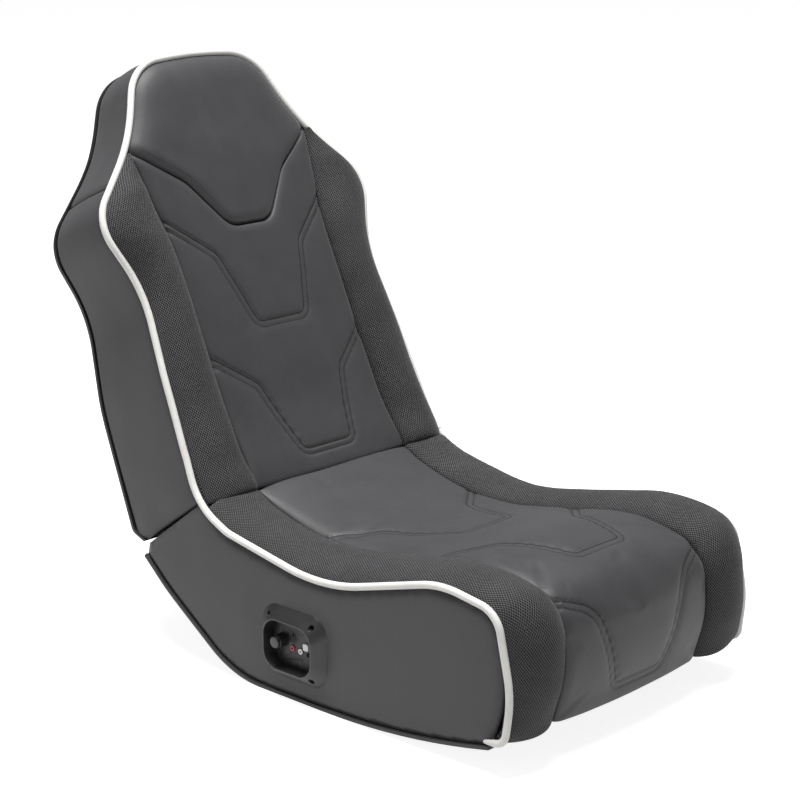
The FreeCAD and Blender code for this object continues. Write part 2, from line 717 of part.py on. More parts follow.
board_half_width = size("seat_half_width") + size("base_overhang")
under_block = side_prism(
    deck_line + [(rail_face, 0, 0), (deck_rear, 0, 0)],
    -board_half_width,
    board_half_width,
)
base_block = side_prism(
    base_top + [(size("base_rear_reach"), -size("base_thickness"), 0), (base_top[0][0], -size("base_thickness"), 0)],
    -board_half_width,
    board_half_width,
)
seam_path = Line(seat_line)
piping_path = Line(piping_line)
STATION_SHARES = [0, 0.05, 0.1, 0.16, 0.22, 0.28, 0.34, 0.42, 0.5, 0.58, 0.65, 0.71, 0.74, 0.76, 0.78, 0.8, 0.83, 0.88, 0.94, 1]
# Rise of a seat bolster as shares of its fullest rise, at shares of the seat line's length
BOLSTER_RISE = [(0, 0.25), (0.1, 0.6), (0.4, 0.55), (0.62, 0.85), (0.745, 1.3), (0.78, 1), (0.83, 0.6), (0.9, 0.5), (1, 0.4)]
# Depth of the foam below the seam, as shares of foam_depth, before the deck is cut from it
FOAM_REACH = [(0, 0.6), (0.05, 1.05), (0.65, 1.05), (0.745, 0.6), (0.8, 0.6), (0.83, 0.9), (1, 0.8)]
seam_half_width = size("panel_half_width") - size("sewing_gap") / 2


def seat_station(share):
    """Origin on the seat line and its outward direction at a share of the line's length."""
    point, heading = seam_path.at(seam_path.length * share)
    return Vector(0, point.x, point.y), Vector(0, heading.y, -heading.x)


def graded(table, share):
    """Value of a table of (share, value) pairs at a share, straight between its pairs."""
    for (low, first), (high, last) in zip(table, table[1:]):
        if share <= high:
            return first + (last - first) * (share - low) / (high - low)
    return table[-1][1]


def seat_cushion_form(sunk):
    """The centre cushion with its top sunk by a depth."""
    sections = []
    for share in STATION_SHARES:
        origin, up = seat_station(share)
        depth = size("foam_depth") * graded(FOAM_REACH, share) - sunk
        sections.append(
            crowned_section(origin - up * sunk, up, seam_half_width, size("centre_crown"), depth,
                            size("side_tuck"))
        )
    return Part.makeLoft(sections, True, True)


def seat_bolster_form():
    """The left bolster, from the seam up over its ridge and down to the piping."""
    sections = []
    inner_x = size("panel_half_width") + size("sewing_gap") / 2
    outer_x = piping_x - piping_radius - size("piping_seat")
    ridge_x = inner_x + (outer_x - inner_x) * size("ridge_share")
    for share in STATION_SHARES:
        origin, up = seat_station(share)
        depth = size("foam_depth") * graded(FOAM_REACH, share)
        rise = size("bolster_crown") * graded(BOLSTER_RISE, share)
        edge = piping_path.offset_from(Vector(origin.y, origin.z, 0), Vector(up.y, up.z, 0))
        sections.append(
            bolster_section(
                origin - up * depth + Vector(inner_x + size("side_tuck"), 0, 0),
                origin + Vector(inner_x, 0, 0),
                origin + up * rise + Vector(ridge_x, 0, 0),
                origin + up * edge + Vector(outer_x, 0, 0),
                origin - up * depth + Vector(outer_x, 0, 0),
            )
        )
    return Part.makeLoft(sections, True, True)


def chevron_prism(start, knee, foot, plane):
    """A chevron's sewn band as an upright prism, in the seat's plan or on its front face."""
    line = [(seam_half_width, start), (size("chevron_knee_half_width"), knee)]
    line.append((size("chevron_foot_half_width"), foot))
    band = chevron_band(line, size("channel_width"))
    if plane == "plan":
        face = face_of(rounded(band), lambda point: Vector(point.x, point.y, size("front_height")))
        return face.extrude(Vector(0, 0, size("fold_height")))
    reach = -size("front_reach") - size("foam_depth")
    face = face_of(rounded(band), lambda point: Vector(point.x, reach, point.y))
    return face.extrude(Vector(0, 2 * size("foam_depth"), 0))


side_solids = [
    side_prism(cover_outline, cover_inner, size("seat_half_width")),
    side_prism(side_board_outline, board_inner, cover_inner),
]
cushion = seat_cushion_form(0).cut([under_block, base_block])
channel_floor = seat_cushion_form(size("channel_depth"))
for start, knee, foot, plane in (
    (-size("rear_chevron_start"), -size("rear_chevron_knee"), -size("rear_chevron_foot"), "plan"),
    (-size("front_chevron_start"), -size("front_chevron_knee"), -size("front_chevron_foot"), "plan"),
    (size("face_chevron_start"), size("face_chevron_knee"), size("face_chevron_foot"), "face"),
):
    cushion = cushion.cut(chevron_prism(start, knee, foot, plane).cut(channel_floor))
feature("seat_cushion", cushion)
bolster = seat_bolster_form().cut([under_block, base_block] + side_solids)
mirror_plane = (Vector(0, 0, 0), Vector(1, 0, 0))
feature("seat_bolster_left", bolster)
feature("seat_bolster_right", bolster.mirror(*mirror_plane))

# Seat piping: one round cord along each side, from the fold to the hem

piping_run = parallel(piping_line, 0)
piping_edges = []
for curve in rounded(piping_run, closed=False):
    if isinstance(curve, Part.LineSegment):
        piping_edges.append(
            Part.makeLine(side_plane(curve.StartPoint, piping_x), side_plane(curve.EndPoint, piping_x))
        )
    else:
        halfway = curve.value((curve.FirstParameter + curve.LastParameter) / 2)
        piping_edges.append(
            Part.Arc(
                side_plane(curve.value(curve.FirstParameter), piping_x),
                side_plane(halfway, piping_x),
                side_plane(curve.value(curve.LastParameter), piping_x),
            ).toShape()
        )
seat_piping = pipe(Part.Wire(piping_edges), piping_radius)
feature("seat_piping_left", seat_piping)
feature("seat_piping_right", seat_piping.mirror(*mirror_plane))


# Lines of the back. Side view: (depth behind the fold axis, height above it)


def foot_height(depth):
    """Height of the back's lower face at a depth, in the back's own frame."""
    return -depth * math.tan(math.radians(size("back_foot_fall")))


rear_line = [
    (size("back_foot_depth"), foot_height(size("back_foot_depth")), 0),
    (size("back_heel_depth"), -size("back_heel_drop"), size("heel_radius")),
    (size("back_low_depth"), size("back_low_height"), size("rear_low_radius")),
    (size("shoulder_depth"), size("shoulder_height"), size("rear_shoulder_radius")),
    (size("neck_depth"), size("neck_height"), size("rear_neck_radius")),
    (size("head_depth"), size("top_height") + size("piping_diameter"), 0),
]
back_top = size("top_height") + size("piping_diameter")


def back_outline(inset, foot):
    """Closed front outline of the back, moved in by an inset, cut off level at its foot."""
    taper = (size("back_foot_half_width") - size("back_low_half_width")) / size("back_low_height")
    half = [
        (size("back_foot_half_width") - taper * foot, foot, 0),
        (size("back_low_half_width"), size("back_low_height"), size("back_low_radius")),
        (size("waist_half_width"), size("waist_height"), size("waist_radius")),
        (size("shoulder_half_width"), size("shoulder_height"), size("shoulder_radius")),
        (size("neck_half_width"), size("neck_height"), size("neck_radius")),
        (size("crown_half_width"), size("crown_height"), size("crown_radius")),
    ]
    middle = [(0, size("top_height"), size("top_radius"))]
    other = [(-x, z, radius) for x, z, radius in reversed(half)]
    line = parallel(half + middle + other, inset)
    drift = taper * (line[0][1] - foot)
    line[0] = (line[0][0] + drift, foot, 0)
    line[-1] = (line[-1][0] - drift, foot, 0)
    return line


foot_drop = -size("back_foot_depth")
piping_room = size("piping_inset") + piping_radius + 2 * size("soft_clearance")
foam_edge = Line(back_outline(piping_room, foot_drop)[:7])


def foam_half_width(height):
    """Half width of the back's foam inside the piping, at a height."""
    return foam_edge.offset_from(Vector(0, height, 0), Vector(1, 0, 0))


# Rear panel board and covers of the back

rear_path = Line(rear_line)


def depth_on(path, height):
    """Depth of a side line of the back at a height."""
    return path.offset_from(Vector(0, height, 0), Vector(1, 0, 0))


rear_face = [(depth_on(rear_path, 0), 0, 0)] + rear_line[2:]
rear_inner = parallel(rear_face, size("rear_panel_thickness"))
panel_band = rear_face + list(reversed(rear_inner))
rear_inner_path = Line(rear_inner)
wide = size("shoulder_half_width") + size("piping_diameter")
rear_panel_form = side_prism(panel_band, -wide, wide).common(
    front_prism(back_outline(-size("panel_lip"), foot_drop), -wide, wide)
)
rear_panel = feature("rear_panel", rear_panel_form)

cover_front = size("pad_depth") + piping_radius + size("piping_seat")
back_profile = (
    [(cover_front, foot_height(cover_front), 0)] + rear_line + [(cover_front, back_top, 0)]
)
shell = front_prism(back_outline(0, foot_drop), -wide, wide)
shell = shell.cut(front_prism(back_outline(size("cover_thickness"), foot_drop - 1), -2 * wide, 2 * wide))
shell = shell.common(side_prism(back_profile, -wide, wide)).cut(rear_panel_form)
seam_height = size("head_seam_height")
half_gap = size("sewing_gap") / 2
lower_left = Part.makeBox(wide, 4 * wide, 3 * wide, Vector(0, -2 * wide, seam_height - half_gap - 3 * wide))
lower_right = lower_left.mirror(*mirror_plane)
upper = Part.makeBox(2 * wide, 4 * wide, wide, Vector(-wide, -2 * wide, seam_height + half_gap))
lean(feature("back_side_cover_left", shell.common(lower_left)))
lean(feature("back_side_cover_right", shell.common(lower_right)))
lean(feature("head_side_cover", shell.common(upper)))

# Boards inside the back: front board with speaker holes, ribs and rails

front_board = doc.addObject("PartDesign::Body", "back_front_board_body")
board_outline = back_outline(size("cover_thickness") + size("board_side_gap"), size("front_board_start"))
board_sketch = sketch_in(front_board, "XZ_Plane", [board_outline])
board_sketch.AttachmentOffset = Placement(Vector(0, 0, -size("pad_depth")), Rotation())
board_sketch.setExpression(".AttachmentOffset.Base.z", "-Sizes.pad_depth")
for side in (-1, 1):
    centre = Vector(side * size("speaker_half_width"), size("speaker_height"), 0)
    board_sketch.addGeometry(Part.Circle(centre, Vector(0, 0, 1), size("speaker_radius")))
board_pad = front_board.newObject("PartDesign::Pad", "back_front_board_pad")
board_pad.Profile = board_sketch
board_pad.setExpression("Length", "Sizes.front_board_thickness")
board_pad.Reversed = True
lean(keep(front_board, "back_front_board"))

board_rear = size("pad_depth") + size("front_board_thickness")
foot_rail_top = (rail_sink + size("back_rail_thickness")) / math.cos(math.radians(size("back_foot_fall")))


rib_top = size("rib_height")
rib_foot_depth = depth_on(rear_inner_path, 1) - size("rear_panel_thickness")
rib_outline = [
    (board_rear, foot_height(board_rear) + foot_rail_top, 0),
    (rib_foot_depth, foot_height(rib_foot_depth) + foot_rail_top, 0),
    (depth_on(rear_inner_path, size("back_low_height")), size("back_low_height"), 0),
    (depth_on(rear_inner_path, rib_top), rib_top, 0),
    (board_rear, rib_top, 0),
]
lean(board("back_rib_left", "YZ_Plane", [rib_outline], "Sizes.rib_thickness", "Sizes.rib_inset"))
lean(board("back_rib_right", "YZ_Plane", [rib_outline], "Sizes.rib_thickness",
           "-Sizes.rib_inset - Sizes.rib_thickness"))


def back_rail(label, half_width_rule, height):
    """A level rail of the back, from the front board to the rear panel."""
    rail = doc.addObject("Part::Box", label + "_box")
    rail.setExpression("Length", "2 * " + half_width_rule)
    rail.Width = depth_on(rear_inner_path, height + size("back_rail_thickness")) - board_rear
    rail.setExpression("Height", "Sizes.back_rail_thickness")
    placement = Placement(fold_point, Rotation(Vector(-1, 0, 0), size("back_lean")))
    corner = Vector(0, board_rear, height)
    rail.Placement = placement.multiply(Placement(corner, Rotation()))
    rail.setExpression(".Placement.Base.x", "-" + half_width_rule)
    return keep(rail, label)


back_rail("back_middle_rail", "Sizes.middle_rail_half_width", rib_top)
back_rail("back_shoulder_rail", "Sizes.shoulder_rail_half_width", size("shoulder_rail_height"))
back_rail("back_head_rail", "Sizes.head_rail_half_width", size("head_rail_height"))

foot_tilt = Rotation(Vector(-1, 0, 0), size("back_lean") + size("back_foot_fall"))
foot_rail = doc.addObject("Part::Box", "back_foot_rail_box")
foot_rail.setExpression("Length", "2 * Sizes.foot_rail_half_width")
foot_rail.setExpression("Width", "Sizes.rail_depth")
foot_rail.setExpression("Height", "Sizes.back_rail_thickness")
foot_corner = Vector(0, size("rail_start"), rail_sink)
foot_rail.Placement = Placement(fold_point + foot_tilt.multVec(foot_corner), foot_tilt)
foot_rail.setExpression(".Placement.Base.x", "-Sizes.foot_rail_half_width")
keep(foot_rail, "back_foot_rail")

# Back foam: bolsters, centre cushion and head cushion on the front board

seam_flare = [
    (size("panel_half_width"), foot_drop, 0),
    (size("panel_half_width"), size("seam_flare_height"), size("seam_flare_height")),
    (size("yoke_half_width"), size("yoke_start_height"), 0),
]
flare_path = Line(seam_flare)
# Rise of a back bolster as shares of its fullest rise, at shares of its length
BACK_BOLSTER_RISE = [
    (0, 0.15), (0.04, 0.6), (0.1, 0.95), (0.2, 1), (0.7, 1), (0.85, 0.85), (0.94, 0.5), (1, 0.2),
]
BACK_STATIONS = [0, 0.02, 0.05, 0.1, 0.16, 0.24, 0.34, 0.44, 0.5, 0.54, 0.58, 0.62, 0.66, 0.7, 0.76, 0.81]
BACK_STATIONS += [0.86, 0.9, 0.94, 0.97, 1]
# Rise of the back's centre cushion as shares of its crown, at heights as shares of the back's height
BACK_RISE = [(0, 0.3), (0.03, 2.4), (0.08, 2.2), (0.2, 1), (0.75, 0.8), (0.9, 1.2), (0.97, 1), (1, 0.2)]
PANEL_STATIONS = [0, 0.015, 0.04, 0.08, 0.14, 0.22, 0.32, 0.44, 0.56, 0.66, 0.74, 0.785, 0.82, 0.86, 0.9]
PANEL_STATIONS += [0.93, 0.955, 0.975, 0.99, 1]
forward = Vector(0, -1, 0)


def back_bolster_form():
    """The left bolster of the back, in the back's own frame."""
    sections = []
    start, top = size("back_foam_start"), size("back_bolster_top")
    for share in BACK_STATIONS:
        height = start + (top - start) * share
        inner_x = flare_path.offset_from(Vector(0, height, 0), Vector(1, 0, 0)) + half_gap
        outer_x = foam_half_width(height)
        ridge_x = inner_x + (outer_x - inner_x) * size("ridge_share")
        ridge_depth = size("back_seam_depth") - size("back_bolster_crown") * graded(BACK_BOLSTER_RISE, share)
        sections.append(
            bolster_section(
                Vector(min(inner_x + size("side_tuck"), ridge_x), size("pad_depth"), height),
                Vector(inner_x, size("back_seam_depth"), height),
                Vector(ridge_x, ridge_depth, height),
                Vector(outer_x, size("pad_depth") - piping_radius, height),
                Vector(outer_x, size("pad_depth"), height),
            )
        )
    return Part.makeLoft(sections, True, True)


def back_panel_form(sunk):
    """Centre and head cushion in one, in the back's own frame, the face sunk by a depth."""
    sections = []
    start, top = size("back_foam_start"), size("head_foam_top")
    for share in PANEL_STATIONS:
        height = start + (top - start) * share
        half_width = foam_half_width(height)
        if height < size("yoke_start_height"):
            seam_x = flare_path.offset_from(Vector(0, height, 0), Vector(1, 0, 0)) - half_gap
            half_width = min(half_width, seam_x)
        depth = size("back_seam_depth") + sunk
        crown = size("back_crown") * graded(BACK_RISE, share)
        sections.append(
            crowned_section(Vector(0, depth, height), forward, half_width, crown,
                            size("pad_depth") - depth, size("back_tuck"))
        )
    return Part.makeLoft(sections, True, True)


def mirrored(corners):
    """Right half points (across, height) and their mirror images, from right to left."""
    right = [(x, z, 0) for x, z in corners]
    left = [(-x, z, 0) for x, z in reversed(corners)]
    return right + left


yoke_line = mirrored([
    (size("yoke_half_width"), size("yoke_start_height")),
    (size("yoke_knee_half_width"), size("yoke_knee_height")),
    (size("yoke_foot_half_width"), size("yoke_foot_height")),
])


def above_yoke(shift):
    """Everything above the yoke seam, moved up or down by a shift."""
    line = parallel(yoke_line, shift)
    rise = (yoke_line[0][1] - yoke_line[1][1]) / (yoke_line[0][0] - yoke_line[1][0])
    outer = line[0][1] + rise * (wide - line[0][0])
    corners = [(wide, outer, 0)] + line[1:-1] + [(-wide, outer, 0), (-wide, 3 * wide, 0), (wide, 3 * wide, 0)]
    return front_prism(corners, -wide, wide)


def back_chevron(start, knee, foot):
    """A chevron's sewn band on the back, as a prism from front to rear."""
    line = [
        (seam_half_width, start, 0),
        (size("chevron_knee_half_width"), knee, 0),
        (size("chevron_foot_half_width"), foot, 0),
    ]
    full = mirrored([(x, z) for x, z, _ in line])
    band = full + list(reversed(parallel(full, size("channel_width"))))
    return front_prism(band, -wide, size("pad_depth"))


back_bolster = back_bolster_form()
lean(feature("back_bolster_left", back_bolster))
lean(feature("back_bolster_right", back_bolster.mirror(*mirror_plane)))
back_panel = back_panel_form(0)
head_cushion = back_panel.common(above_yoke(-half_gap))
back_cushion = back_panel.cut(above_yoke(half_gap))
back_channel_floor = back_panel_form(size("channel_depth"))
for start, knee, foot in (
    (size("upper_chevron_start"), size("upper_chevron_knee"), size("upper_chevron_foot")),
    (size("lower_chevron_start"), size("lower_chevron_knee"), size("lower_chevron_foot")),
):
    back_cushion = back_cushion.cut(back_chevron(start, knee, foot).cut(back_channel_floor))
lean(feature("back_cushion", back_cushion))
lean(feature("head_cushion", head_cushion))

# Back piping: one cord up one side, over the head and down the other side

back_piping_edges = []
piping_foot = foot_height(cover_front)
for curve in rounded(back_outline(size("piping_inset"), piping_foot), closed=False):
    first, last = curve.FirstParameter, curve.LastParameter
    ends = [front_plane(curve.value(value), size("pad_depth")) for value in (first, last)]
    if isinstance(curve, Part.LineSegment):
        back_piping_edges.append(Part.makeLine(*ends))
    else:
        halfway = front_plane(curve.value((first + last) / 2), size("pad_depth"))
        back_piping_edges.append(Part.Arc(ends[0], halfway, ends[1]).toShape())
lean(feature("back_piping", pipe(Part.Wire(back_piping_edges), piping_radius)))

# Speakers behind the bolsters


def turned(profile, centre):
    """A solid turned about a line that runs from front to rear. Profile points are (radius, depth)."""
    points = [centre + Vector(radius, depth, 0) for radius, depth in profile]
    face = Part.Face(Part.makePolygon(points + points[:1]))
    return face.revolve(centre, Vector(0, 1, 0), 360)


rim = size("speaker_radius")
wall = size("speaker_wall")
magnet_front = board_rear + size("speaker_depth") - size("magnet_depth")
basket_profile = [
    (rim, board_rear),
    (rim + size("speaker_flange"), board_rear),
    (rim + size("speaker_flange"), board_rear + 2 * wall),
    (rim + wall, board_rear + 2 * wall),
    (size("magnet_radius"), magnet_front),
    (size("magnet_radius"), magnet_front + size("magnet_depth")),
    (0, magnet_front + size("magnet_depth")),
    (0, magnet_front - wall),
    (size("magnet_radius") - wall, magnet_front - wall),
    (rim, board_rear + 2 * wall),
]
cone_rim = rim - size("cone_clearance")
cone_wall = size("cone_wall")
cone_foot = magnet_front - 3 * wall
cone_profile = [
    (cone_rim, board_rear),
    (cone_rim, board_rear + cone_wall),
    (size("dust_cap_radius"), cone_foot),
    (0, cone_foot),
    (0, cone_foot - cone_wall),
    (size("dust_cap_radius") - cone_wall, cone_foot - cone_wall),
    (cone_rim - 2 * cone_wall, board_rear),
]
for side, name in ((1, "left"), (-1, "right")):
    centre = Vector(side * size("speaker_half_width"), 0, size("speaker_height"))
    lean(feature("speaker_basket_" + name, turned(basket_profile, centre)))
    lean(feature("speaker_cone_" + name, turned(cone_profile, centre)))


# Fold hinges: two leaves, three knuckles and a pin on each side

knuckle = size("knuckle_length")
knuckle_step = knuckle + size("knuckle_gap")
hinge_length = 2 * knuckle_step + knuckle


def along_x(radius, x_low, length):
    """A cylinder along the fold axis."""
    return Part.makeCylinder(radius, length, fold_point + Vector(x_low, 0, 0), Vector(1, 0, 0))


def leaf_plate(angle, lower_side):
    """A hinge leaf's plate, from the knuckles rearwards and down, below or above its own face."""
    tilt = Rotation(Vector(-1, 0, 0), angle)
    reach = size("leaf_reach")
    start = size("leaf_setback") if lower_side < 0 else size("leaf_setback")
    low = -start - size("leaf_thickness") if lower_side < 0 else start
    plate = Part.makeBox(hinge_length, reach, size("leaf_thickness"), Vector(-hinge_length / 2, 0, low))
    plate.Placement = Placement(fold_point, tilt).multiply(plate.Placement)
    return plate


back_face_angle = size("back_lean") + size("back_foot_fall")
seat_face_angle = back_face_angle + size("fold_gap_angle")
for side, name in ((1, "left"), (-1, "right")):
    middle = side * size("hinge_half_width")
    low_end = middle - hinge_length / 2
    bore = along_x(size("pin_radius") + size("pin_clearance"), low_end - 1, hinge_length + 2)
    clear_ring = size("knuckle_radius") + size("knuckle_gap")
    seat_plate = leaf_plate(seat_face_angle, -1).translated(Vector(middle, 0, 0))
    back_plate = leaf_plate(back_face_angle, 1).translated(Vector(middle, 0, 0))
    seat_knuckles = [
        along_x(size("knuckle_radius"), low_end, knuckle),
        along_x(size("knuckle_radius"), low_end + 2 * knuckle_step, knuckle),
    ]
    back_knuckle = along_x(size("knuckle_radius"), low_end + knuckle_step, knuckle)
    seat_relief = along_x(clear_ring, low_end + knuckle_step - size("knuckle_gap"),
                          knuckle + 2 * size("knuckle_gap"))
    back_reliefs = [
        along_x(clear_ring, low_end - 1, knuckle + 1 + size("knuckle_gap")),
        along_x(clear_ring, low_end + 2 * knuckle_step - size("knuckle_gap"), knuckle + 1 + size("knuckle_gap")),
    ]
    feature("hinge_seat_leaf_" + name, seat_plate.cut(seat_relief).fuse(seat_knuckles).cut(bore).removeSplitter())
    feature("hinge_back_leaf_" + name, back_plate.cut(Part.makeCompound(back_reliefs)).fuse(back_knuckle)
            .cut(bore).removeSplitter())
    pin = doc.addObject("Part::Cylinder", "hinge_pin_%s_rod" % name)
    pin.setExpression("Radius", "Sizes.pin_radius")
    pin.setExpression("Height", "3 * Sizes.knuckle_length + 2 * Sizes.knuckle_gap")
    pin.Placement = Placement(fold_point + Vector(low_end, 0, 0), Rotation(Vector(0, 1, 0), 90))
    keep(pin, "hinge_pin_" + name)

# Control panel in the seat's right side, drawn in the side's plane and placed along X

outer_face = -size("seat_half_width")
plate_face = outer_face + size("plate_recess")
plate_back = plate_face + size("plate_thickness")
board_face = plate_back + size("board_gap")


def panel_prism(corners, x_low, x_high):
    """A panel outline extruded inwards between two places along X."""
    return side_prism(corners, x_low, x_high)


def panel_rod(shift, rise, radius, x_low, x_high):
    """A cylinder along X at a place on the control panel."""
    start = Vector(x_low, -size("panel_reach") + shift, size("panel_height") + rise)
    return Part.makeCylinder(radius, x_high - x_low, start, Vector(1, 0, 0))


def panel_ring(corners, x):
    """A closed wire of a panel outline at a place along X."""
    return face_of(rounded(corners), lambda point: side_plane(point, x)).OuterWire


bezel_foot = panel_window(size("bezel_width"), size("bezel_height"), size("bezel_corner"))
rim_face = outer_face - size("bezel_proud")
bezel = Part.makeLoft(
    [panel_ring(bezel_foot, outer_face), panel_ring(rim_outline(0), rim_face)], True, True
)
bezel = bezel.fuse(panel_prism(tub_outline, outer_face - size("rim_wall"), outer_face + size("tub_depth")))
bezel = bezel.cut(panel_prism(window_outline, rim_face - 1, outer_face + size("tub_depth") + 1))
pocket_floor = outer_face - size("screw_pocket_floor")
screws = []
for y, z in screw_places:
    pocket_start = Vector(rim_face - 1, y, z)
    bezel = bezel.cut(Part.makeCylinder(size("screw_pocket_radius"), pocket_floor - rim_face + 1,
                                        pocket_start, Vector(1, 0, 0)))
    bezel = bezel.cut(Part.makeCylinder(size("screw_shank_radius"), size("bezel_proud"),
                                        Vector(pocket_floor - 1, y, z), Vector(1, 0, 0)))
    head = Part.makeCylinder(size("screw_head_radius"), size("screw_head_height"),
                             Vector(pocket_floor - size("screw_head_height"), y, z), Vector(1, 0, 0))
    slot_depth = size("screw_head_height") / 2
    slot = size("screw_slot_width")
    span = 1.4 * size("screw_head_radius")
    slot_face = pocket_floor - size("screw_head_height")
    head = head.cut(Part.makeBox(slot_depth, span, slot, Vector(slot_face, y - span / 2, z - slot / 2)))
    head = head.cut(Part.makeBox(slot_depth, slot, span, Vector(slot_face, y - slot / 2, z - span / 2)))
    shank = Part.makeCylinder(size("screw_shank_radius"), size("screw_length"),
                              Vector(pocket_floor, y, z), Vector(1, 0, 0))
    screws.append(head.fuse(shank))
feature("control_bezel", bezel.removeSplitter())
feature("bezel_screws", Part.makeCompound(screws))


def square_about(shift, rise, side, corner):
    """A rounded square outline at a place on the control panel."""
    y, z = -size("panel_reach") + shift, size("panel_height") + rise
    half = side / 2
    return [(y - half, z - half, corner), (y + half, z - half, corner),
            (y + half, z + half, corner), (y - half, z + half, corner)]


knob_place = (size("knob_shift"), size("knob_rise"))
red_place = (size("red_jack_shift"), size("red_jack_rise"))
white_place = (size("white_jack_shift"), size("white_jack_rise"))
headphone_place = (size("headphone_shift"), size("headphone_rise"))
inlet_place = (size("inlet_shift"), size("inlet_rise"))
lens_place = (size("lens_shift"), size("lens_rise"))
button_place = (size("button_shift"), size("button_rise"))
plate_holes = [
    knob_place + (size("shaft_radius") + size("shaft_clearance"),),
    red_place + (size("jack_radius"),),
    white_place + (size("jack_radius"),),
    headphone_place + (size("headphone_radius"),),
    inlet_place + (size("inlet_radius"),),
    lens_place + (size("lens_radius"),),
]
button_hole = square_about(*button_place, size("button_side") + 2 * size("button_clearance"),
                           size("button_corner") + size("button_clearance"))
board(
    "control_plate",
    "YZ_Plane",
    [window_outline, button_hole],
    "Sizes.plate_thickness",
    "Sizes.plate_recess - Sizes.seat_half_width",
    [(-size("panel_reach") + shift, size("panel_height") + rise, radius) for shift, rise, radius in plate_holes],
)
board("amplifier_board", "YZ_Plane", [window_outline], "Sizes.amplifier_thickness",
      "Sizes.plate_recess + Sizes.plate_thickness + Sizes.board_gap - Sizes.seat_half_width")


def socket(label, place, radius, bore_radius, proud):
    """A jack from in front of the plate back to the amplifier board, with a blind bore."""
    front = plate_face - proud
    shape = panel_rod(*place, radius, front, board_face)
    return feature(label, shape.cut(panel_rod(*place, bore_radius, front, front + size("jack_bore_depth"))))


socket("audio_jack_red", red_place, size("jack_radius"), size("jack_bore_radius"), size("jack_proud"))
socket("audio_jack_white", white_place, size("jack_radius"), size("jack_bore_radius"), size("jack_proud"))
socket("headphone_jack", headphone_place, size("headphone_radius"), size("headphone_bore_radius"),
       size("collar_proud"))
inlet = socket("power_inlet", inlet_place, size("inlet_radius"), size("inlet_bore_radius"), size("collar_proud"))
inlet_pin = panel_rod(*inlet_place, size("inlet_pin_radius"), plate_face,
                      plate_face + size("jack_bore_depth"))
inlet.Shape = inlet.Shape.fuse(inlet_pin).removeSplitter()
feature("indicator_lens", panel_rod(*lens_place, size("lens_radius"), plate_face - size("collar_proud"), board_face))

shaft_hole = size("shaft_radius") + size("shaft_clearance")
housing = panel_rod(*knob_place, size("potentiometer_radius"), plate_back, board_face)
feature("volume_potentiometer", housing.cut(panel_rod(*knob_place, shaft_hole, plate_back - 1, board_face - 1)))
knob_foot = plate_face - size("running_gap")
knob_face = knob_foot - size("knob_length")
knob_middle = panel_rod(*knob_place, size("knob_skirt_radius"), knob_face, knob_foot)
knob_axis = Vector(0, -size("panel_reach") + size("knob_shift"), size("panel_height") + size("knob_rise"))


def knob_profile():
    """Half section of the knob: (radius, distance in front of its foot)."""
    wall = size("knob_wall")
    length = size("knob_length")
    shoulder = length * 0.72
    return [
        (size("shaft_radius"), 0),
        (size("knob_skirt_radius"), 0),
        (size("knob_skirt_radius"), wall),
        (size("knob_radius") + 0.6, shoulder),
        (size("knob_radius"), shoulder + 0.6),
        (size("knob_radius"), length - 1),
        (size("knob_radius") - 1, length),
        (0, length),
        (0, length - wall),
        (size("shaft_radius"), length - wall),
    ]


knob_points = [Vector(knob_foot - reach, radius, 0) for radius, reach in knob_profile()]
knob_wire = Part.makePolygon(knob_points + knob_points[:1])
knob = Part.Face(knob_wire).revolve(Vector(0, 0, 0), Vector(1, 0, 0), 360)
flutes = []
for index in range(int(size("knob_flutes"))):
    turn = 2 * math.pi * index / size("knob_flutes")
    reach = size("knob_skirt_radius") + 0.2
    start = Vector(knob_foot - size("knob_length") * 0.72, math.cos(turn) * reach, math.sin(turn) * reach)
    flutes.append(Part.makeCylinder(size("knob_flute_radius") + 0.5, size("knob_length") * 0.72 - size("knob_wall"),
                                    start, Vector(1, 0, 0)))
knob = knob.cut(flutes)
knob.translate(knob_axis)
feature("volume_knob", knob)
shaft = doc.addObject("Part::Cylinder", "volume_knob_shaft_rod")
shaft.setExpression("Radius", "Sizes.shaft_radius")
shaft_start = knob_face + size("knob_wall")
shaft.Height = board_face - 2 - shaft_start
shaft.Placement = Placement(knob_axis + Vector(shaft_start, 0, 0), Rotation(Vector(0, 1, 0), 90))
keep(shaft, "volume_knob_shaft")

button_front = plate_face - size("button_proud")
button_rear = plate_face + size("button_stem")
button_outline = square_about(*button_place, size("button_side"), size("button_corner"))
button = panel_prism(button_outline, button_front, button_rear)
front_edges = [edge for edge in button.Edges
               if all(abs(vertex.X - button_front) < 1e-6 for vertex in edge.Vertexes)]
feature("push_button", button.makeFillet(0.8, front_edges))
switch_face = button_rear + size("button_travel") + size("button_stop_gap")
feature("button_switch", panel_prism(button_outline, switch_face, board_face))

# Rear panel screws, two rows in front of the ribs

panel_screws = []
rib_middle = size("rib_inset") + size("rib_thickness") / 2
for side in (-1, 1):
    for index in range(int(size("board_screw_count"))):
        height = size("board_screw_start") + index * size("board_screw_spacing")
        depth = depth_on(rear_path, height)
        lower = depth_on(rear_path, height - 1)
        outward = Vector(0, 1, lower - depth).normalize()
        seat = Vector(side * rib_middle, depth, height)
        shank = Part.makeCylinder(size("board_screw_shank"), size("rear_panel_thickness"), seat, outward * -1)
        screw_head = Part.makeCylinder(size("board_screw_radius"), size("board_screw_height"), seat, outward)
        rear_panel_form = rear_panel_form.cut(shank)
        panel_screws.append(screw_head.fuse(shank).removeSplitter())
rear_panel.Shape = rear_panel_form
lean(rear_panel)
lean(feature("rear_panel_screws", Part.makeCompound(panel_screws)))


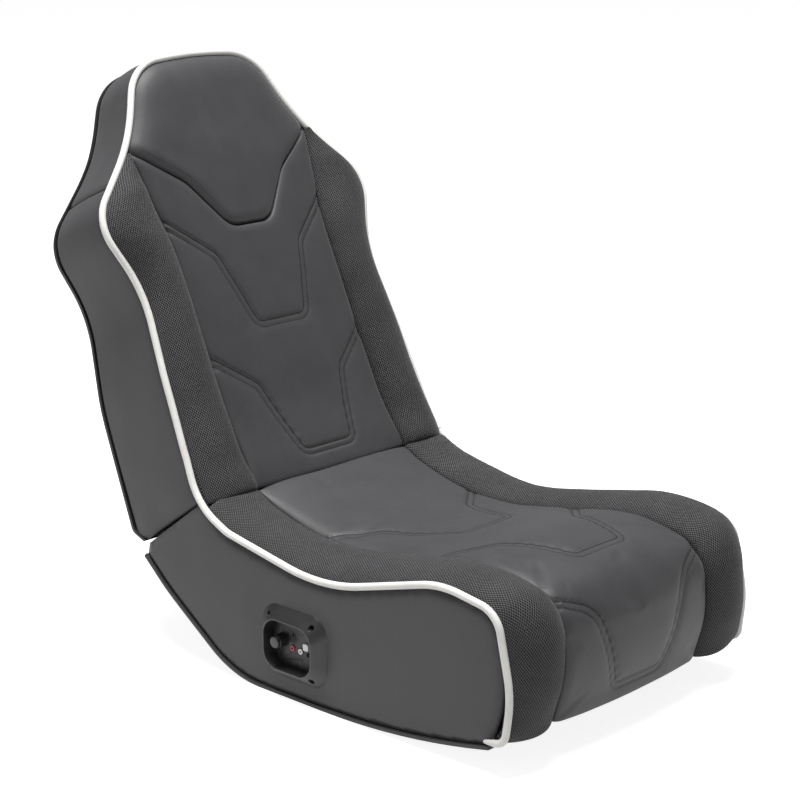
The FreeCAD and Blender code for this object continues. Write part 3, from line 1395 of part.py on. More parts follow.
def check_and_write():
    """Checks every object and writes each sub-part to its own file."""
    doc.recompute()
    for obj in doc.Objects:
        faults = [state for state in obj.State if state in ("Invalid", "Error")]
        if faults:
            raise RuntimeError("%s is %s" % (obj.Label, faults))
    os.makedirs("parts", exist_ok=True)
    for obj in node_objects:
        if obj.Shape.isNull() or not obj.Shape.isValid() or not obj.Shape.Solids:
            raise RuntimeError("%s has no valid solid" % obj.Label)
        obj.Shape.exportStep("parts/%s.step" % obj.Label)
    print("wrote", len(node_objects), "sub-parts")


check_and_write()
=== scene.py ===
import json
import math

import bmesh
import bpy
import numpy as np
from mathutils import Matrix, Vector, geometry, noise


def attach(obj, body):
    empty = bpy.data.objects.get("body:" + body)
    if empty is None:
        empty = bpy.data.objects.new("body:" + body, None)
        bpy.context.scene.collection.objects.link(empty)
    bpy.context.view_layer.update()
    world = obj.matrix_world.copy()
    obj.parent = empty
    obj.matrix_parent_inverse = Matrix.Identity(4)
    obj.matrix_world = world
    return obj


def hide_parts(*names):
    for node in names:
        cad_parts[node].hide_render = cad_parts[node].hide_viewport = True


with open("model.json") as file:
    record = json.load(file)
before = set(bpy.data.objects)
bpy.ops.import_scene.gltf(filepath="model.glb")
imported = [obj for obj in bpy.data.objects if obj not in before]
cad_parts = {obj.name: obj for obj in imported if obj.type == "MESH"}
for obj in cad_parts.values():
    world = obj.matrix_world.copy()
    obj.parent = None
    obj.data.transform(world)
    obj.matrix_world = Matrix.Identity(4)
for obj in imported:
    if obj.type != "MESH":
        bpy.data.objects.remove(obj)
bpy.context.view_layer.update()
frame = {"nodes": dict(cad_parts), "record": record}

bl_info = {
    "name": "Gaming Rocker Chair",
    "version": (1, 0, 0),
    "blender": (4, 5, 0),
    "location": "View3D > Sidebar > Rocker Chair",
    "description": "Upholstery, piping, stitches, boards and control panel of a folding floor rocker",
    "category": "Add Mesh",
}

MM = 0.001
CLOTH_FRAMES = 20
FAR_FROM_SEAM = 30.0
# Most that the cloth simulation presses a face out, in millimetres
CUSHION_PUFF, BOLSTER_PUFF = 2.2, 2.8

# Lines of the chair in millimetres, as (along, up, corner radius). They follow the solids' lines, with
# rounder corners at the crown, neck and shoulder, and with the bend in which the seat's cord runs on into
# the back's.
FOLD_Y, FOLD_Z = 114.0, 238.0
LEAN = math.radians(25.0)
FOOT_FALL = math.tan(math.radians(9.6))
GAP_FALL = math.tan(math.radians(37.3))
SEAT_LINE = [
    (110, 231, 0), (-53, 183, 400), (-335, 231.5, 250), (-438, 202, 58), (-444, 110, 150), (-424, 40, 0),
]
SEAT_PIPING_LINE = [
    (153.4, 285.8, 0), (126.9, 229.1, 100), (66, 203, 60), (-115, 170, 300), (-318, 226, 150),
    (-410, 212, 38), (-433, 110, 150), (-425, 46, 16), (-392, 43, 0),
]
# Distance along that line at which the seat's cord meets the back's, how far one runs inside the other there,
# the height on the back at which the bend ends, and the cord's depth behind the back's front plane
CORD_SPLIT, CORD_OVERLAP, CORD_BEND_TOP, CORD_DEPTH = 61.0, 6.5, 62.0, 15.5
SEAM_X = 148.0
# Half of the slit that is left between two covers at a seam, how deep the seams beside the cushions sink, and
# how far in from them the cushions roll off
SLIT, SEAM_SINK, SIDE_ROLL = 0.3, 8.0, 17.0
# Where the seat's side covers lie, and how far inside the outline the head cushion and its foot begin
COVER_X, HEAD_INSET, HEAD_FOOT = 246.0, 6.0, 486.0
# Where the cushions' lower edges and the bolsters' upper ends lie on the back
BACK_FOOT, BOLSTER_TOP = -9.0, 491.0
SEAT_PIPING_X = 243.0
BACK_OUTLINE = [
    (239.6, -26, 0), (239, 0, 0), (232.5, 175, 600), (221, 298, 190), (264, 404, 64), (164, 509, 300),
    (114, 620, 80), (0, 628.5, 700), (-114, 620, 80), (-164, 509, 300), (-264, 404, 64), (-221, 298, 190),
    (-232.5, 175, 600), (-239, 0, 0), (-239.6, -26, 0),
]
SEAM_FLARE = [(148, -26, 0), (148, 350, 350), (171, 493, 0)]
YOKE = [(173, 495, 0), (93, 437, 60), (39, 363, 34), (-39, 363, 34), (-93, 437, 60), (-173, 495, 0)]
REAR_LINE = [
    (155, -26, 0), (173, -8, 12), (168, 165, 500), (132, 404, 150), (106, 509, 80), (91, 637.5, 0),
]
# Height of the seam between the side covers and the head's band, and depth of the band's front edge
SHOULDER, BAND_FRONT = 450.0, 18.0
# How far outside the covers' lines the stitches start before they are dropped onto the covers
STITCH_DROP = 12.0
FLOOR_REACH = 9000.0
SEAT_CHEVRONS = [((148, -21), (79, -75), (45, -180)), ((148, -207), (79, -267), (45, -369))]
FACE_CHEVRON = ((148, 205), (88, 183), (45, 72))
BACK_CHEVRONS = [((152, 388), (79, 327), (45, 220)), ((148, 188), (79, 134), (45, 28))]
# Corner radii of a chevron at its start, knee and foot
CHEVRON_RADII = (0, 26, 12)
# Fullest rise of a seat bolster above the seam, at shares of the seat line
SEAT_BOLSTER_RISE = [
    (0, 10), (0.06, 11), (0.2, 12), (0.4, 11), (0.62, 15), (0.745, 22), (0.8, 16), (0.88, 11), (1, 8),
]


def linear(text):
    """Linear colour of an sRGB hex value."""
    values = [int(text[i:i + 2], 16) / 255 for i in (1, 3, 5)]
    return tuple(v / 12.92 if v <= 0.04045 else ((v + 0.055) / 1.055) ** 2.4 for v in values)


def length_property(name, description, default):
    """A length in metres that the sidebar shows."""
    return bpy.props.FloatProperty(
        name=name, description=description, default=default, unit="LENGTH", precision=4
    )


def colour_property(name, description, text):
    """A colour that the sidebar shows."""
    return bpy.props.FloatVectorProperty(
        name=name, description=description, default=linear(text), subtype="COLOR", size=3, min=0, max=1
    )


class RockerSizes(bpy.types.PropertyGroup):
    """Sizes of the upholstery."""

    seat_crown: length_property("Seat crown", "Middle of the seat cushion above its side seams", 0.007)
    back_crown: length_property("Back crown", "Middle of the back cushion in front of its side seams", 0.009)
    bolster_crown: length_property(
        "Back bolster crown", "Ridge of a back bolster in front of the seam", 0.022
    )
    groove_depth: length_property("Groove depth", "Depth of the sewn chevron lines", 0.0026)
    band_width: length_property("Band width", "Distance between the two lines of a chevron", 0.009)
    piping_diameter: length_property("Piping diameter", "Thickness of the off-white cord", 0.0098)
    mesh_pitch: length_property("Mesh pitch", "Width of one diamond of the spacer mesh", 0.0035)
    stitch_length: length_property("Stitch length", "Length of one stitch", 0.0026)
    stitch_spacing: length_property("Stitch spacing", "Distance from one stitch to the next", 0.0042)
    thread: length_property("Thread", "Thickness of the sewing thread", 0.0006)


class RockerColours(bpy.types.PropertyGroup):
    """Colours of the materials."""

    vinyl: colour_property("Vinyl", "Soft-touch upholstery vinyl", "#3c3b3d")
    mesh_ground: colour_property("Mesh ground", "Backing seen through the spacer mesh", "#0a0a0b")
    # The mesh is black; its threads' light grey is painted sheen.
    mesh_thread_sheen: colour_property("Mesh thread", "Threads of the spacer mesh", "#6b6a6c")
    piping: colour_property("Piping", "Coated cord", "#e8e7e2")
    lacquer: colour_property("Lacquer", "Black lacquer of the base board and the rear panel", "#1b1b1c")
    fibreboard: colour_property("Fibreboard", "Raw boards inside", "#a98c63")
    housing: colour_property("Housing", "Moulded frame of the control panel", "#262627")
    thread: colour_property("Thread", "Sewing thread", "#2f2f31")


# Lines and surfaces


def rounded(corners):
    """Points along straight runs whose corners are rounded."""
    points = [np.array(corners[0][:2], float)]
    for before, corner, after in zip(corners, corners[1:], corners[2:]):
        at = np.array(corner[:2], float)
        back = np.array(before[:2], float) - at
        onward = np.array(after[:2], float) - at
        back /= np.linalg.norm(back)
        onward /= np.linalg.norm(onward)
        turn = math.pi - math.acos(np.clip(back @ onward, -1, 1))
        radius = corner[2]
        if radius == 0 or turn < 1e-4:
            points.append(at)
            continue
        middle = back + onward
        centre = at + middle / np.linalg.norm(middle) * radius / math.cos(turn / 2)
        start = at + back * radius * math.tan(turn / 2) - centre
        side = np.sign(back[0] * onward[1] - back[1] * onward[0])
        for angle in np.linspace(0, -side * turn, max(4, int(turn * radius / 2))):
            c, s = math.cos(angle), math.sin(angle)
            points.append(centre + (start[0] * c - start[1] * s, start[0] * s + start[1] * c))
    points.append(np.array(corners[-1][:2], float))
    return np.array(points)


class Line:
    """A run of points in a plane, read by the distance along it."""

    def __init__(self, points):
        steps = np.linalg.norm(np.diff(points, axis=0), axis=1)
        kept = np.concatenate([[True], steps > 1e-6])
        self.points = points[kept]
        self.marks = np.concatenate([[0], np.cumsum(steps[steps > 1e-6])])
        self.length = self.marks[-1]

    def at(self, marks):
        """Points at distances along the line."""
        return np.stack([np.interp(marks, self.marks, self.points[:, i]) for i in (0, 1)], -1)

    def heading(self, marks):
        """Unit directions at distances along the line."""
        ahead = self.at(np.minimum(marks + 4, self.length)) - self.at(np.maximum(marks - 4, 0))
        return ahead / np.linalg.norm(ahead, axis=-1, keepdims=True)

    def mark_where(self, axis, value, low=0.0, high=1.0):
        """Distance along the line, between two shares of it, where a coordinate has a value."""
        marks = np.linspace(low, high, 4000) * self.length
        return marks[np.argmin(np.abs(self.at(marks)[:, axis] - value))]

    def distance_from(self, origins, directions):
        """Signed distance from each origin to the line in that direction."""
        first, last = self.points[:-1], self.points[1:]
        run = last - first
        found = []
        for origin, way in zip(origins, directions):
            cross = way[0] * run[:, 1] - way[1] * run[:, 0]
            safe = np.where(np.abs(cross) < 1e-9, 1e-9, cross)
            gap = first - origin
            reach = (gap[:, 0] * run[:, 1] - gap[:, 1] * run[:, 0]) / safe
            share = (gap[:, 0] * way[1] - gap[:, 1] * way[0]) / safe
            reach = np.where((share >= -0.01) & (share <= 1.01), reach, 1e9)
            found.append(reach[np.argmin(np.abs(reach))])
        return np.array(found)

    def shifted(self, distance):
        """The line moved sideways, to the left of its heading where the distance is positive."""
        way = self.heading(self.marks)
        return Line(self.points + np.stack([-way[:, 1], way[:, 0]], -1) * distance)

    def across(self, points):
        """Signed distance of points from the line, positive to the left of its heading."""
        flat = points.reshape(-1, 2)
        first, run = self.points[:-1], np.diff(self.points, axis=0)
        span = (run ** 2).sum(1)
        best = np.full(len(flat), 1e9)
        signed = np.zeros(len(flat))
        for start, way, size in zip(first, run, span):
            gap = flat - start
            share = np.clip(gap @ way / size, 0, 1)
            away = gap - share[:, None] * way
            distance = np.linalg.norm(away, axis=1)
            nearer = distance < best - 1e-9
            side = np.sign(way[0] * gap[:, 1] - way[1] * gap[:, 0])
            best = np.where(nearer, distance, best)
            signed = np.where(nearer, distance * side, signed)
        return signed.reshape(points.shape[:-1])


def graded(table, shares):
    """Values of (share, value) pairs at shares."""
    return np.interp(shares, [row[0] for row in table], [row[1] for row in table])


def crowded(count, ease=0.55):
    """Shares from 0 to 1 that lie closer together at both ends."""
    share = np.linspace(0, 1, count)
    return share - ease * np.sin(2 * math.pi * share) / (2 * math.pi)


def roll(distance, reach, drop):
    """How far a stuffed face falls away towards its seam, at a distance from the seam."""
    share = np.clip(1 - distance / reach, 0, 1)
    return drop * (1 - np.sqrt(1 - share ** 2))


def unevenness(points, size, seed):
    """Smooth noise between -1 and 1 at points, with waves of a size in millimetres."""
    flat = points.reshape(-1, 3)
    values = [noise.noise(Vector(p) / size + Vector((seed, 3.1 * seed, 7.7))) for p in flat]
    return np.array(values).reshape(points.shape[:-1])


def leaned(points):
    """Points (x, depth, height) of the upright back, leaned about the fold axis."""
    x, depth, height = points[..., 0], points[..., 1], points[..., 2]
    c, s = math.cos(LEAN), math.sin(LEAN)
    return np.stack([x, FOLD_Y + depth * c + height * s, FOLD_Z - depth * s + height * c], -1)


def on_back(x, depth, height):
    """Points of the leaned back from its own coordinates, each an array or one number."""
    return leaned(np.stack(np.broadcast_arrays(x, depth, height), -1))


def mesh_object(name, vertices, faces, uv=None):
    """A new object from points in millimetres, with one UV place per point, in millimetres too."""
    mesh = bpy.data.meshes.new(name)
    mesh.from_pydata((np.asarray(vertices) * MM).tolist(), [], [tuple(int(i) for i in f) for f in faces])
    if uv is not None:
        layer = mesh.uv_layers.new(name="surface_mm")
        corner = np.empty(len(mesh.loops), int)
        mesh.loops.foreach_get("vertex_index", corner)
        layer.data.foreach_set("uv", np.asarray(uv)[corner].astype(np.float32).ravel())
    smooth(mesh)
    return placed(name, mesh)


def placed(name, data):
    """A new object with this data, in the scene."""
    obj = bpy.data.objects.new(name, data)
    bpy.context.scene.collection.objects.link(obj)
    return obj


def smooth(mesh):
    """Shades all faces smoothly."""
    mesh.polygons.foreach_set("use_smooth", [True] * len(mesh.polygons))


def grid_faces(rows, columns, start=0):
    """Four-sided faces of a grid of points."""
    i, j = np.meshgrid(np.arange(rows - 1), np.arange(columns - 1), indexing="ij")
    first = (start + i * columns + j).ravel()
    return np.stack([first, first + 1, first + columns + 1, first + columns], -1)


def border(rows, columns):
    """Indices round the edge of a grid of points."""
    grid = np.arange(rows * columns).reshape(rows, columns)
    return np.concatenate([grid[0, :-1], grid[:-1, -1], grid[-1, :0:-1], grid[:0:-1, 0]])


def pad(name, top, under, uv):
    """A closed pad between two grids of points. The points of the face come first."""
    rows, columns = top.shape[:2]
    count = rows * columns
    face = grid_faces(rows, columns)
    ring = border(rows, columns)
    following = np.roll(ring, -1)
    wall = np.stack([ring, ring + count, following + count, following], -1)
    a, b, c = top[rows // 2, columns // 2], top[rows // 2, columns // 2 + 1], top[rows // 2 + 1, columns // 2]
    outward = np.cross(b - a, c - a) @ (a - under[rows // 2, columns // 2]) > 0
    if outward:
        faces = np.concatenate([face, face[:, ::-1] + count, wall])
    else:
        faces = np.concatenate([face[:, ::-1], face + count, wall[:, ::-1]])
    points = np.concatenate([top.reshape(-1, 3), under.reshape(-1, 3)])
    places = np.concatenate([uv.reshape(-1, 2)] * 2)
    return mesh_object(name, points, faces, places)


def coordinates(mesh):
    """Points of a mesh as an array, in metres."""
    values = np.empty(len(mesh.vertices) * 3, np.float32)
    mesh.vertices.foreach_get("co", values)
    return values.reshape(-1, 3).astype(float)


def place_points(mesh, points):
    """Moves the points of a mesh."""
    mesh.vertices.foreach_set("co", np.asarray(points, np.float32).ravel())
    mesh.update()


def normals(mesh):
    """Unit normals at the points of a mesh."""
    values = np.empty(len(mesh.vertices) * 3, np.float32)
    mesh.vertex_normals.foreach_get("vector", values)
    return values.reshape(-1, 3).astype(float)


def inflate(obj, shape, cap):
    """Lets the stuffing press a pad's face out, by less than a cap. Its seam and underside stay."""
    scene = bpy.context.scene
    rest = coordinates(obj.data)
    count = shape[0] * shape[1]
    held = np.concatenate([np.arange(count, 2 * count), border(*shape)])
    group = obj.vertex_groups.new(name="held")
    group.add([int(i) for i in held], 1.0, "REPLACE")
    cloth = obj.modifiers.new("Cloth", "CLOTH")
    settings = cloth.settings
    settings.quality = 5
    settings.mass = 0.3
    settings.tension_stiffness = 25
    settings.compression_stiffness = 25
    settings.shear_stiffness = 12
    settings.bending_stiffness = 3.0
    settings.use_pressure = True
    settings.uniform_pressure_force = 4.0
    settings.vertex_group_mass = "held"
    settings.effector_weights.gravity = 0
    cloth.point_cache.frame_start = 1
    cloth.point_cache.frame_end = CLOTH_FRAMES
    for number in range(1, CLOTH_FRAMES + 1):
        scene.frame_set(number)
    shown = obj.evaluated_get(bpy.context.evaluated_depsgraph_get())
    moved = coordinates(shown.data) - rest
    distance = np.linalg.norm(moved, axis=1, keepdims=True)
    limit = cap * MM
    share = np.where(distance > 1e-9, limit * np.tanh(distance / limit) / np.maximum(distance, 1e-9), 1)
    obj.modifiers.remove(cloth)
    obj.vertex_groups.remove(group)
    scene.frame_set(1)
    place_points(obj.data, rest + moved * share)


def push(obj, amounts):
    """Moves the first points of a piece outwards by amounts in millimetres."""
    points = coordinates(obj.data)
    way = normals(obj.data)
    count = amounts.size
    points[:count] += way[:count] * amounts.reshape(-1, 1) * MM
    place_points(obj.data, points)


def baked(obj):
    """Turns an object's live modifiers into a plain mesh."""
    shown = obj.evaluated_get(bpy.context.evaluated_depsgraph_get())
    mesh = bpy.data.meshes.new_from_object(shown)
    obj.modifiers.clear()
    old = obj.data
    obj.data = mesh
    mesh.name = old.name
    bpy.data.meshes.remove(old)


def finer(obj):
    """Subdivides a piece once and keeps the result."""
    modifier = obj.modifiers.new("Subdivision", "SUBSURF")
    modifier.levels = modifier.render_levels = 1
    modifier.uv_smooth = "PRESERVE_BOUNDARIES"
    baked(obj)
    smooth(obj.data)


def eased(obj, width, angle):
    """Rounds the edges sharper than an angle in degrees, by a width in millimetres."""
    bevel = obj.modifiers.new("Bevel", "BEVEL")
    bevel.width = width * MM
    bevel.segments = 2
    bevel.limit_method = "ANGLE"
    bevel.angle_limit = math.radians(angle)
    baked(obj)
    smooth(obj.data)
    obj.data.set_sharp_from_angle(angle=math.radians(40))


def note_seams(obj, across=None, near=None):
    """Stores the distance across the nearest sewn line, and how near it is, for a piece's first points."""
    for name, values, elsewhere in (("seam_across", across, FAR_FROM_SEAM), ("seam_near", near, 0.0)):
        layer = obj.data.attributes.new(name, "FLOAT", "POINT")
        full = np.full(len(obj.data.vertices), elsewhere)
        if values is not None:
            full[:values.size] = values.ravel()
        layer.data.foreach_set("value", full.astype(np.float32))


def dress(mesh, material):
    """Gives a mesh one material."""
    mesh.materials.clear()
    mesh.materials.append(material)


def settle(obj, body, material, nodes=()):
    """Gives a finished piece its material, body and the nodes it stands for."""
    dress(obj.data, material)
    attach(obj, body)
    if nodes:
        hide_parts(*nodes)


def settle_pair(left, body, material, node):
    """Settles a left piece and its mirror image, for the left and right nodes of that name."""
    right = mirrored(left, left.name.replace("_left", "_right"))
    for obj, side in ((left, "_left"), (right, "_right")):
        settle(obj, body, material, [node + side])


def mirrored(obj, name):
    """A copy of a piece on the other side of the middle plane."""
    mesh = obj.data.copy()
    points = coordinates(mesh)
    points[:, 0] *= -1
    place_points(mesh, points)
    mesh.flip_normals()
    mesh.name = name
    return placed(name, mesh)


def tube(name, centres, radii, sides=16):
    """A round cord through points in millimetres, with a UV map of its surface in millimetres."""
    centres = np.asarray(centres, float)
    ways = np.gradient(centres, axis=0)
    ways /= np.linalg.norm(ways, axis=1, keepdims=True)
    side = np.cross(ways[0], (0.0, 0.1, 1.0))
    run = np.concatenate([[0], np.cumsum(np.linalg.norm(np.diff(centres, axis=0), axis=1))])
    points, places = [], []
    angles = np.linspace(0, 2 * math.pi, sides, endpoint=False)
    for centre, way, radius, mark in zip(centres, ways, radii, run):
        side = side - (side @ way) * way
        side /= np.linalg.norm(side)
        other = np.cross(way, side)
        points.append(centre + radius * (np.cos(angles)[:, None] * side + np.sin(angles)[:, None] * other))
        places.append(np.stack([angles * max(radii), np.full(sides, mark)], -1))
    rows = len(centres)
    faces = [
        (i * sides + j, i * sides + k, (i + 1) * sides + k, (i + 1) * sides + j)
        for i in range(rows - 1) for j, k in zip(range(sides), (*range(1, sides), 0))
    ]
    faces.append(tuple(range(sides))[::-1])
    faces.append(tuple(range((rows - 1) * sides, rows * sides)))
    return mesh_object(name, np.concatenate(points), faces, np.concatenate(places))


# Materials


def add(tree, kind, values=None, links=None, **settings):
    """Adds a node with its settings, values and links. A link from a node comes from its first output."""
    made = tree.nodes.new(kind)
    for name, value in settings.items():
        setattr(made, name, value)
    for socket, value in (values or {}).items():
        made.inputs[socket].default_value = value
    for socket, source in (links or {}).items():
        output = source.outputs[0] if isinstance(source, bpy.types.Node) else source
        tree.links.new(output, made.inputs[socket])
    return made


def new_material(name):
    """An empty material, its tree and its texture coordinates."""
    material = bpy.data.materials.new(name)
    material.use_nodes = True
    tree = material.node_tree
    tree.nodes.clear()
    return material, tree, add(tree, "ShaderNodeTexCoord").outputs


def shaded(material, values, links):
    """Ends a material with a shader that has these values and links."""
    tree = material.node_tree
    shader = add(tree, "ShaderNodeBsdfPrincipled", values, links)
    add(tree, "ShaderNodeOutputMaterial", links={"Surface": shader})
    return material


def solid(colour, factor=1.0):
    """A colour with alpha, made lighter or darker by a factor."""
    return tuple(min(1.0, c * factor) for c in colour) + (1.0,)


def soft_touch_vinyl(colours, band):
    """Polyurethane-coated knit: a dull, slightly uneven skin with very fine pores, and painted shade along
    its sewn grooves.
    """
    material, tree, place = new_material("soft_touch_vinyl")
    at = {"Vector": place["Object"]}
    cloud = add(tree, "ShaderNodeTexNoise", {"Scale": 26.0, "Detail": 4.0, "Roughness": 0.6}, at)
    speckle = add(tree, "ShaderNodeTexNoise", {"Scale": 420.0, "Detail": 2.0}, at)
    mixed = add(tree, "ShaderNodeMath", {1: 0.55}, {0: cloud}, operation="MULTIPLY")
    mixed = add(tree, "ShaderNodeMath", {1: 0.45}, {0: speckle, 2: mixed}, operation="MULTIPLY_ADD")
    tone = add(tree, "ShaderNodeValToRGB", links={"Fac": mixed})
    for stop, share, factor in zip(tone.color_ramp.elements, (0.3, 0.72), (0.88, 1.14)):
        stop.position, stop.color = share, solid(colours.vinyl, factor)
    # The upper sewn line runs where seam_across is 0, and the lower one at the band's width in millimetres.
    # Both lines are painted shade: the colour darkens to a fifth of itself where the grooves lie in shadow,
    # near the seams only.
    across = add(tree, "ShaderNodeAttribute", attribute_name="seam_across").outputs["Fac"]
    near = add(tree, "ShaderNodeAttribute", attribute_name="seam_near").outputs["Fac"]
    lines = []
    for shift, core, strength in ((0.0, 0.5, 1.0), (band, 0.3, 0.7)):
        line = add(tree, "ShaderNodeMath", {1: shift}, {0: across}, operation="SUBTRACT")
        line = add(tree, "ShaderNodeMath", links={0: line}, operation="ABSOLUTE")
        fade = {"From Min": core, "From Max": 1.7, "To Min": strength, "To Max": 0.0}
        lines.append(add(tree, "ShaderNodeMapRange", fade, {"Value": line}, interpolation_type="SMOOTHSTEP"))
    line = add(tree, "ShaderNodeMath", links={0: lines[0], 1: lines[1]}, operation="MAXIMUM")
    close = add(tree, "ShaderNodeMath", {1: 0.02}, {0: near}, operation="GREATER_THAN")
    line = add(tree, "ShaderNodeMath", links={0: line, 1: close}, operation="MULTIPLY")
    # Painted shade: the vinyl's colour is mixed towards a fifth of itself along the sewn grooves.
    sewn = add(tree, "ShaderNodeMix", {7: solid(colours.vinyl, 0.22)}, {0: line, 6: tone}, data_type="RGBA")
    gloss = add(tree, "ShaderNodeMapRange", {"To Min": 0.44, "To Max": 0.58}, {"Value": cloud})
    # Pores are 0.8 mm apart, about half a pixel, so they only soften the sheen.
    pores = add(tree, "ShaderNodeTexVoronoi", {"Scale": 1250.0, "Randomness": 1.0}, at)
    fine = add(tree, "ShaderNodeBump", {"Strength": 0.25, "Distance": 0.00006}, {"Height": pores})
    waves = add(tree, "ShaderNodeTexNoise", {"Scale": 60.0, "Detail": 3.0, "Roughness": 0.55}, at)
    soft = add(tree, "ShaderNodeBump", {"Strength": 0.35, "Distance": 0.0008},
               {"Height": waves, "Normal": fine})
    return shaded(material,
                  {"IOR": 1.46, "Specular IOR Level": 0.42, "Sheen Weight": 0.12, "Sheen Roughness": 0.45},
                  {"Base Color": sewn.outputs[2], "Roughness": gloss, "Normal": soft})


def spacer_mesh(colours, pitch):
    """Warp-knitted polyester spacer fabric: black, with its threads painted light grey in small diamonds as
    painted sheen over the dark backing.
    """
    material, tree, place = new_material("polyester_spacer_mesh")
    at = {"Vector": place["Object"]}
    axes = add(tree, "ShaderNodeSeparateXYZ", links={"Vector": place["UV"]}).outputs
    # The diamonds are one pitch wide and 1.35 pitches high, a few pixels each.
    turn = math.pi / (pitch / MM)
    one = add(tree, "ShaderNodeMath", {1: turn}, {0: axes["X"]}, operation="MULTIPLY")
    two = add(tree, "ShaderNodeMath", {1: turn / 1.35}, {0: axes["Y"]}, operation="MULTIPLY")
    waves = []
    for operation in ("ADD", "SUBTRACT"):
        wave = add(tree, "ShaderNodeMath", links={0: one, 1: two}, operation=operation)
        wave = add(tree, "ShaderNodeMath", links={0: wave}, operation="COSINE")
        waves.append(add(tree, "ShaderNodeMath", links={0: wave}, operation="ABSOLUTE"))
    height = add(tree, "ShaderNodeMath", links={0: waves[0], 1: waves[1]}, operation="MINIMUM")
    fade = {"From Min": 0.12, "From Max": 0.36, "To Min": 1.0, "To Max": 0.0}
    strand = add(tree, "ShaderNodeMapRange", fade, {"Value": height}, interpolation_type="SMOOTHSTEP")
    # The threads' painted sheen varies at random, fibre by fibre and in broad patches.
    fuzz = add(tree, "ShaderNodeTexNoise", {"Scale": 900.0, "Detail": 2.0}, at)
    sheen_patches = add(tree, "ShaderNodeTexNoise", {"Scale": 22.0, "Detail": 3.0}, at)
    shade = add(tree, "ShaderNodeMapRange", {"To Min": 0.7, "To Max": 1.35}, {"Value": sheen_patches})
    thread = add(tree, "ShaderNodeMix",
                 {6: solid(colours.mesh_thread_sheen, 0.6), 7: solid(colours.mesh_thread_sheen, 1.5)},
                 {0: fuzz}, data_type="RGBA")
    thread = add(tree, "ShaderNodeVectorMath", links={0: thread.outputs[2], "Scale": shade},
                 operation="SCALE")
    colour = add(tree, "ShaderNodeMix", {6: solid(colours.mesh_ground)}, {0: strand, 7: thread},
                 data_type="RGBA")
    bump = add(tree, "ShaderNodeBump", {"Strength": 0.8, "Distance": 0.0007}, {"Height": strand})
    values = {"Roughness": 0.78, "Specular IOR Level": 0.3, "Sheen Weight": 0.12, "Sheen Roughness": 0.4}
    return shaded(material, values, {"Base Color": colour.outputs[2], "Normal": bump})


def coated_piping(colours):
    """Vinyl-covered welt cord: off-white, satin, with faint creases across it and a little grime."""
    material, tree, place = new_material("vinyl_welt_cord")
    at = {"Vector": place["Object"]}
    grain = add(tree, "ShaderNodeTexNoise", {"Scale": 700.0, "Detail": 3.0}, at)
    grime = add(tree, "ShaderNodeTexNoise", {"Scale": 34.0, "Detail": 5.0, "Roughness": 0.65}, at)
    tone = add(tree, "ShaderNodeValToRGB", links={"Fac": grime})
    for stop, share, factor in zip(tone.color_ramp.elements, (0.28, 0.6), (0.9, 1.0)):
        stop.position, stop.color = share, solid(colours.piping, factor)
    axes = add(tree, "ShaderNodeSeparateXYZ", links={"Vector": place["UV"]}).outputs
    # Shallow creases about every 6 mm along the cord, broken up by the grain.
    along = add(tree, "ShaderNodeMath", {1: 1.05}, {0: axes["Y"]}, operation="MULTIPLY")
    along = add(tree, "ShaderNodeMath", {1: 4.0}, {0: grime, 2: along}, operation="MULTIPLY_ADD")
    crease = add(tree, "ShaderNodeMath", links={0: along}, operation="SINE")
    height = add(tree, "ShaderNodeMath", {1: 0.3}, {0: crease, 2: grain}, operation="MULTIPLY_ADD")
    bump = add(tree, "ShaderNodeBump", {"Strength": 0.3, "Distance": 0.00025}, {"Height": height})
    return shaded(material, {"Roughness": 0.42, "Subsurface Weight": 0.08, "Subsurface Scale": 0.002},
                  {"Base Color": tone, "Normal": bump})


def lacquered_board(colours):
    """Fibreboard sprayed matte black: faint orange peel, with dust and rub marks that dull it."""
    material, tree, place = new_material("black_lacquered_fibreboard")
    at = {"Vector": place["Object"]}
    peel = add(tree, "ShaderNodeTexNoise", {"Scale": 520.0, "Detail": 2.0}, at)
    rub = add(tree, "ShaderNodeTexNoise", {"Scale": 40.0, "Detail": 6.0, "Roughness": 0.7}, at)
    tone = add(tree, "ShaderNodeValToRGB", links={"Fac": rub})
    for stop, share, factor in zip(tone.color_ramp.elements, (0.35, 0.75), (0.85, 1.35)):
        stop.position, stop.color = share, solid(colours.lacquer, factor)
    gloss = add(tree, "ShaderNodeMapRange", {"To Min": 0.38, "To Max": 0.62}, {"Value": rub})
    bump = add(tree, "ShaderNodeBump", {"Strength": 0.3, "Distance": 0.00012}, {"Height": peel})
    return shaded(material, {}, {"Base Color": tone, "Roughness": gloss, "Normal": bump})


def raw_fibreboard(colours):
    """Sawn medium-density fibreboard: pale brown with short darker fibres."""
    material, tree, place = new_material("raw_fibreboard")
    stretch = add(tree, "ShaderNodeMapping", {"Scale": (1.0, 3.0, 3.0)}, {"Vector": place["Object"]})
    fibre = add(tree, "ShaderNodeTexNoise", {"Scale": 330.0, "Detail": 4.0, "Roughness": 0.7},
                {"Vector": stretch})
    tone = add(tree, "ShaderNodeValToRGB", links={"Fac": fibre})
    for stop, share, factor in zip(tone.color_ramp.elements, (0.3, 0.65), (0.62, 1.1)):
        stop.position, stop.color = share, solid(colours.fibreboard, factor)
    bump = add(tree, "ShaderNodeBump", {"Strength": 0.5, "Distance": 0.0003}, {"Height": fibre})
    return shaded(material, {"Roughness": 0.85}, {"Base Color": tone, "Normal": bump})


